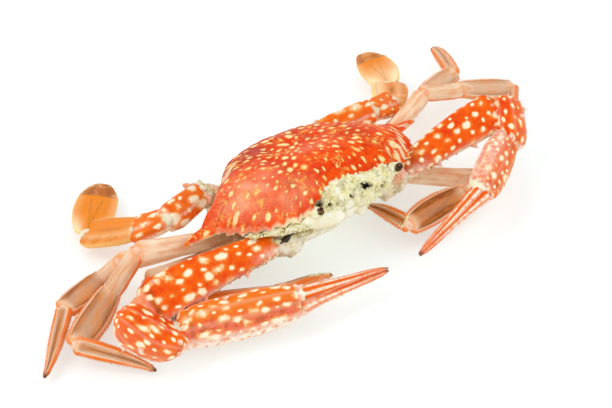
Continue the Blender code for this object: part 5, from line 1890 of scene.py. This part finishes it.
def colour_setting(name, description, screen):
    """A colour shown in the sidebar, given as it looks on a screen."""
    return bpy.props.FloatVectorProperty(name=name, description=description, subtype="COLOR",
                                         size=3, min=0.0, max=1.0, default=paint(*screen))


def measure(name, description, default, low=0.0, high=1.0, **more):
    """A number shown in the sidebar."""
    return bpy.props.FloatProperty(name=name, description=description, default=default, min=low,
                                   max=high, **more)


class CrabColours(bpy.types.PropertyGroup):
    """Colours of the boiled crab."""
    orange: colour_setting("Shell orange", "Main colour of the shell", (250, 78, 0))
    deep_orange: colour_setting("Shell red", "Deeper patches of the shell and claws", (228, 50, 0))
    rose: colour_setting("Rose", "Granular cheeks and claw middles", (238, 138, 108))
    mauve: colour_setting("Mauve", "Valleys and the rear of the shell", (186, 50, 38))
    cream: colour_setting("Cream", "Spots", (252, 232, 176))
    claw_orange: colour_setting("Claw orange", "Main colour of the claws", (246, 94, 2))
    leg_pale: colour_setting("Leg pale", "Palest part of the walking legs", (248, 220, 186))
    leg_pink: colour_setting("Leg pink", "Pink mottling of the walking legs", (238, 178, 134))
    leg_brown: colour_setting("Leg brown", "Faces of the outer leg segments", (158, 80, 26))
    leg_orange: colour_setting("Leg orange", "Edges of the walking legs", (238, 118, 38))
    amber: colour_setting("Amber", "Thin middle of the paddles", (236, 136, 24))
    rim_yellow: colour_setting("Paddle rim", "Pale rim of the paddles", (246, 204, 124))
    bristle: colour_setting("Bristle", "Fringes of the walking legs", (214, 150, 92))


class CrabShell(bpy.types.PropertyGroup):
    """The shell and its spots."""
    rings: bpy.props.IntProperty(name="Rings", description="Rings of the shell's dome",
                                 default=78, min=20, max=110)
    spot_size: measure("Spot size", "Half breadth of the largest spots, in millimetres", 1.6, 0.5, 4.0)
    spot_spacing: measure("Spot spacing", "Least distance between spots, in millimetres", 3.3, 2.0, 12.0)
    spot_seed: bpy.props.IntProperty(name="Spot seed", description="Which scatter of spots",
                                     default=4, min=0)


class CrabLimbs(bpy.types.PropertyGroup):
    """Fringes and finger teeth."""
    bristle_length: measure("Bristle length", "Longest bristle of a fringe", 0.0013, 0.0003, 0.006,
                            unit="LENGTH")
    bristle_spacing: measure("Bristle spacing", "Distance between bristles", 0.00055, 0.0002, 0.005,
                             unit="LENGTH")
    bristle_thickness: measure("Bristle thickness", "Radius of a bristle's foot", 0.00013, 0.00003,
                               0.001, unit="LENGTH")
    tooth_size: measure("Tooth size", "Height of the largest finger tooth", 0.0012, 0.0003, 0.003,
                        unit="LENGTH")
    tooth_spacing: measure("Tooth spacing", "Distance between finger teeth", 0.0021, 0.0005, 0.006,
                           unit="LENGTH")


class CrabFace(bpy.types.PropertyGroup):
    """The curd in the broken front."""
    roughness: measure("Roughness", "Height of the curd's lumps, in millimetres", 0.8, 0.0, 2.0)
    crumbs: measure("Crumbs", "Crumbs on a square millimetre of curd", 0.30, 0.01, 2.0)
    crumb_size: measure("Crumb size", "Radius of a crumb", 0.00062, 0.0001, 0.002, unit="LENGTH")


class CrabStage(bpy.types.PropertyGroup):
    """Light and camera."""
    camera_turn: measure("Camera turn", "Camera's way round the crab", math.radians(-47.16), -TURN,
                         TURN, subtype="ANGLE")
    camera_lift: measure("Camera lift", "Camera's height as an angle", math.radians(36.0), -TURN, TURN,
                         subtype="ANGLE")
    camera_distance: measure("Camera distance", "Camera to the place it looks at", 0.702, 0.01, 100.0,
                             unit="LENGTH")
    lens: measure("Lens", "Focal length in millimetres", 95.0, 10.0, 300.0)
    room: measure("Room light", "Brightness of the surroundings", 0.98, 0.0, 5.0)
    key: measure("Key light", "Power of the main lamp in watts", 5.0, 0.0, 500.0)
    fill: measure("Fill light", "Power of the second lamp in watts", 1.5, 0.0, 500.0)


# ---- Operators and panel ----------------------------------------------------------------------------

class CRAB_OT_stage(bpy.types.Operator):
    """Set up the floor, the lamps and the camera"""
    bl_idname = "crab.stage"
    bl_label = "Stage"

    def execute(self, context):
        build_stage()
        return {"FINISHED"}


class CRAB_OT_shell(bpy.types.Operator):
    """Build the spotted shell with its teeth and long spines"""
    bl_idname = "crab.shell"
    bl_label = "Shell"

    def execute(self, context):
        build_shell()
        return {"FINISHED"}


class CRAB_OT_body(bpy.types.Operator):
    """Build the cream body under the shell, with its tail flap"""
    bl_idname = "crab.body"
    bl_label = "Body"

    def execute(self, context):
        build_belly()
        return {"FINISHED"}


class CRAB_OT_face(bpy.types.Operator):
    """Build the curd, the eyes and the mouth plates"""
    bl_idname = "crab.face"
    bl_label = "Face"

    def execute(self, context):
        build_face()
        build_eyes()
        build_mouth()
        return {"FINISHED"}


class CRAB_OT_claws(bpy.types.Operator):
    """Build both claws with their finger teeth"""
    bl_idname = "crab.claws"
    bl_label = "Claws"

    def execute(self, context):
        for tag in SIDES:
            build_claw(tag)
        return {"FINISHED"}


class CRAB_OT_legs(bpy.types.Operator):
    """Build the six walking legs with their fringes"""
    bl_idname = "crab.legs"
    bl_label = "Walking legs"

    def execute(self, context):
        for tag in SIDES:
            for limb in LEGS:
                build_leg(tag, limb)
        return {"FINISHED"}


class CRAB_OT_swimming_legs(bpy.types.Operator):
    """Build the two back legs with their paddles"""
    bl_idname = "crab.swimming_legs"
    bl_label = "Swimming legs"

    def execute(self, context):
        for tag in SIDES:
            build_swim_leg(tag)
        return {"FINISHED"}


OPERATORS = (CRAB_OT_stage, CRAB_OT_shell, CRAB_OT_body, CRAB_OT_face, CRAB_OT_claws, CRAB_OT_legs,
             CRAB_OT_swimming_legs)
GROUPS = {"crab_colours": CrabColours, "crab_shell": CrabShell, "crab_limbs": CrabLimbs,
          "crab_face": CrabFace, "crab_stage": CrabStage}


class CRAB_PT_panel(bpy.types.Panel):
    """Lists the crab's pieces and settings"""
    bl_idname = "CRAB_PT_panel"
    bl_label = "Boiled swimming crab"
    bl_space_type = "VIEW_3D"
    bl_region_type = "UI"
    bl_category = "Crab"

    def draw(self, context):
        for operator in OPERATORS:
            self.layout.operator(operator.bl_idname)
        for name, group in GROUPS.items():
            box = self.layout.box()
            for key in group.__annotations__:
                box.prop(getattr(context.scene, name), key)


def register():
    """Add the settings, the operators and the panel."""
    for name, group in GROUPS.items():
        bpy.utils.register_class(group)
        setattr(bpy.types.Scene, name, bpy.props.PointerProperty(type=group))
    for entry in (*OPERATORS, CRAB_PT_panel):
        bpy.utils.register_class(entry)


def unregister():
    """Take them out again."""
    for entry in (CRAB_PT_panel, *reversed(OPERATORS)):
        bpy.utils.unregister_class(entry)
    for name, group in GROUPS.items():
        delattr(bpy.types.Scene, name)
        bpy.utils.unregister_class(group)


def main():
    """Build the whole crab."""
    register()
    bpy.ops.crab.stage()
    bpy.ops.crab.shell()
    bpy.ops.crab.body()
    bpy.ops.crab.face()
    bpy.ops.crab.claws()
    bpy.ops.crab.legs()
    bpy.ops.crab.swimming_legs()


if __name__ == "__main__":
    main()
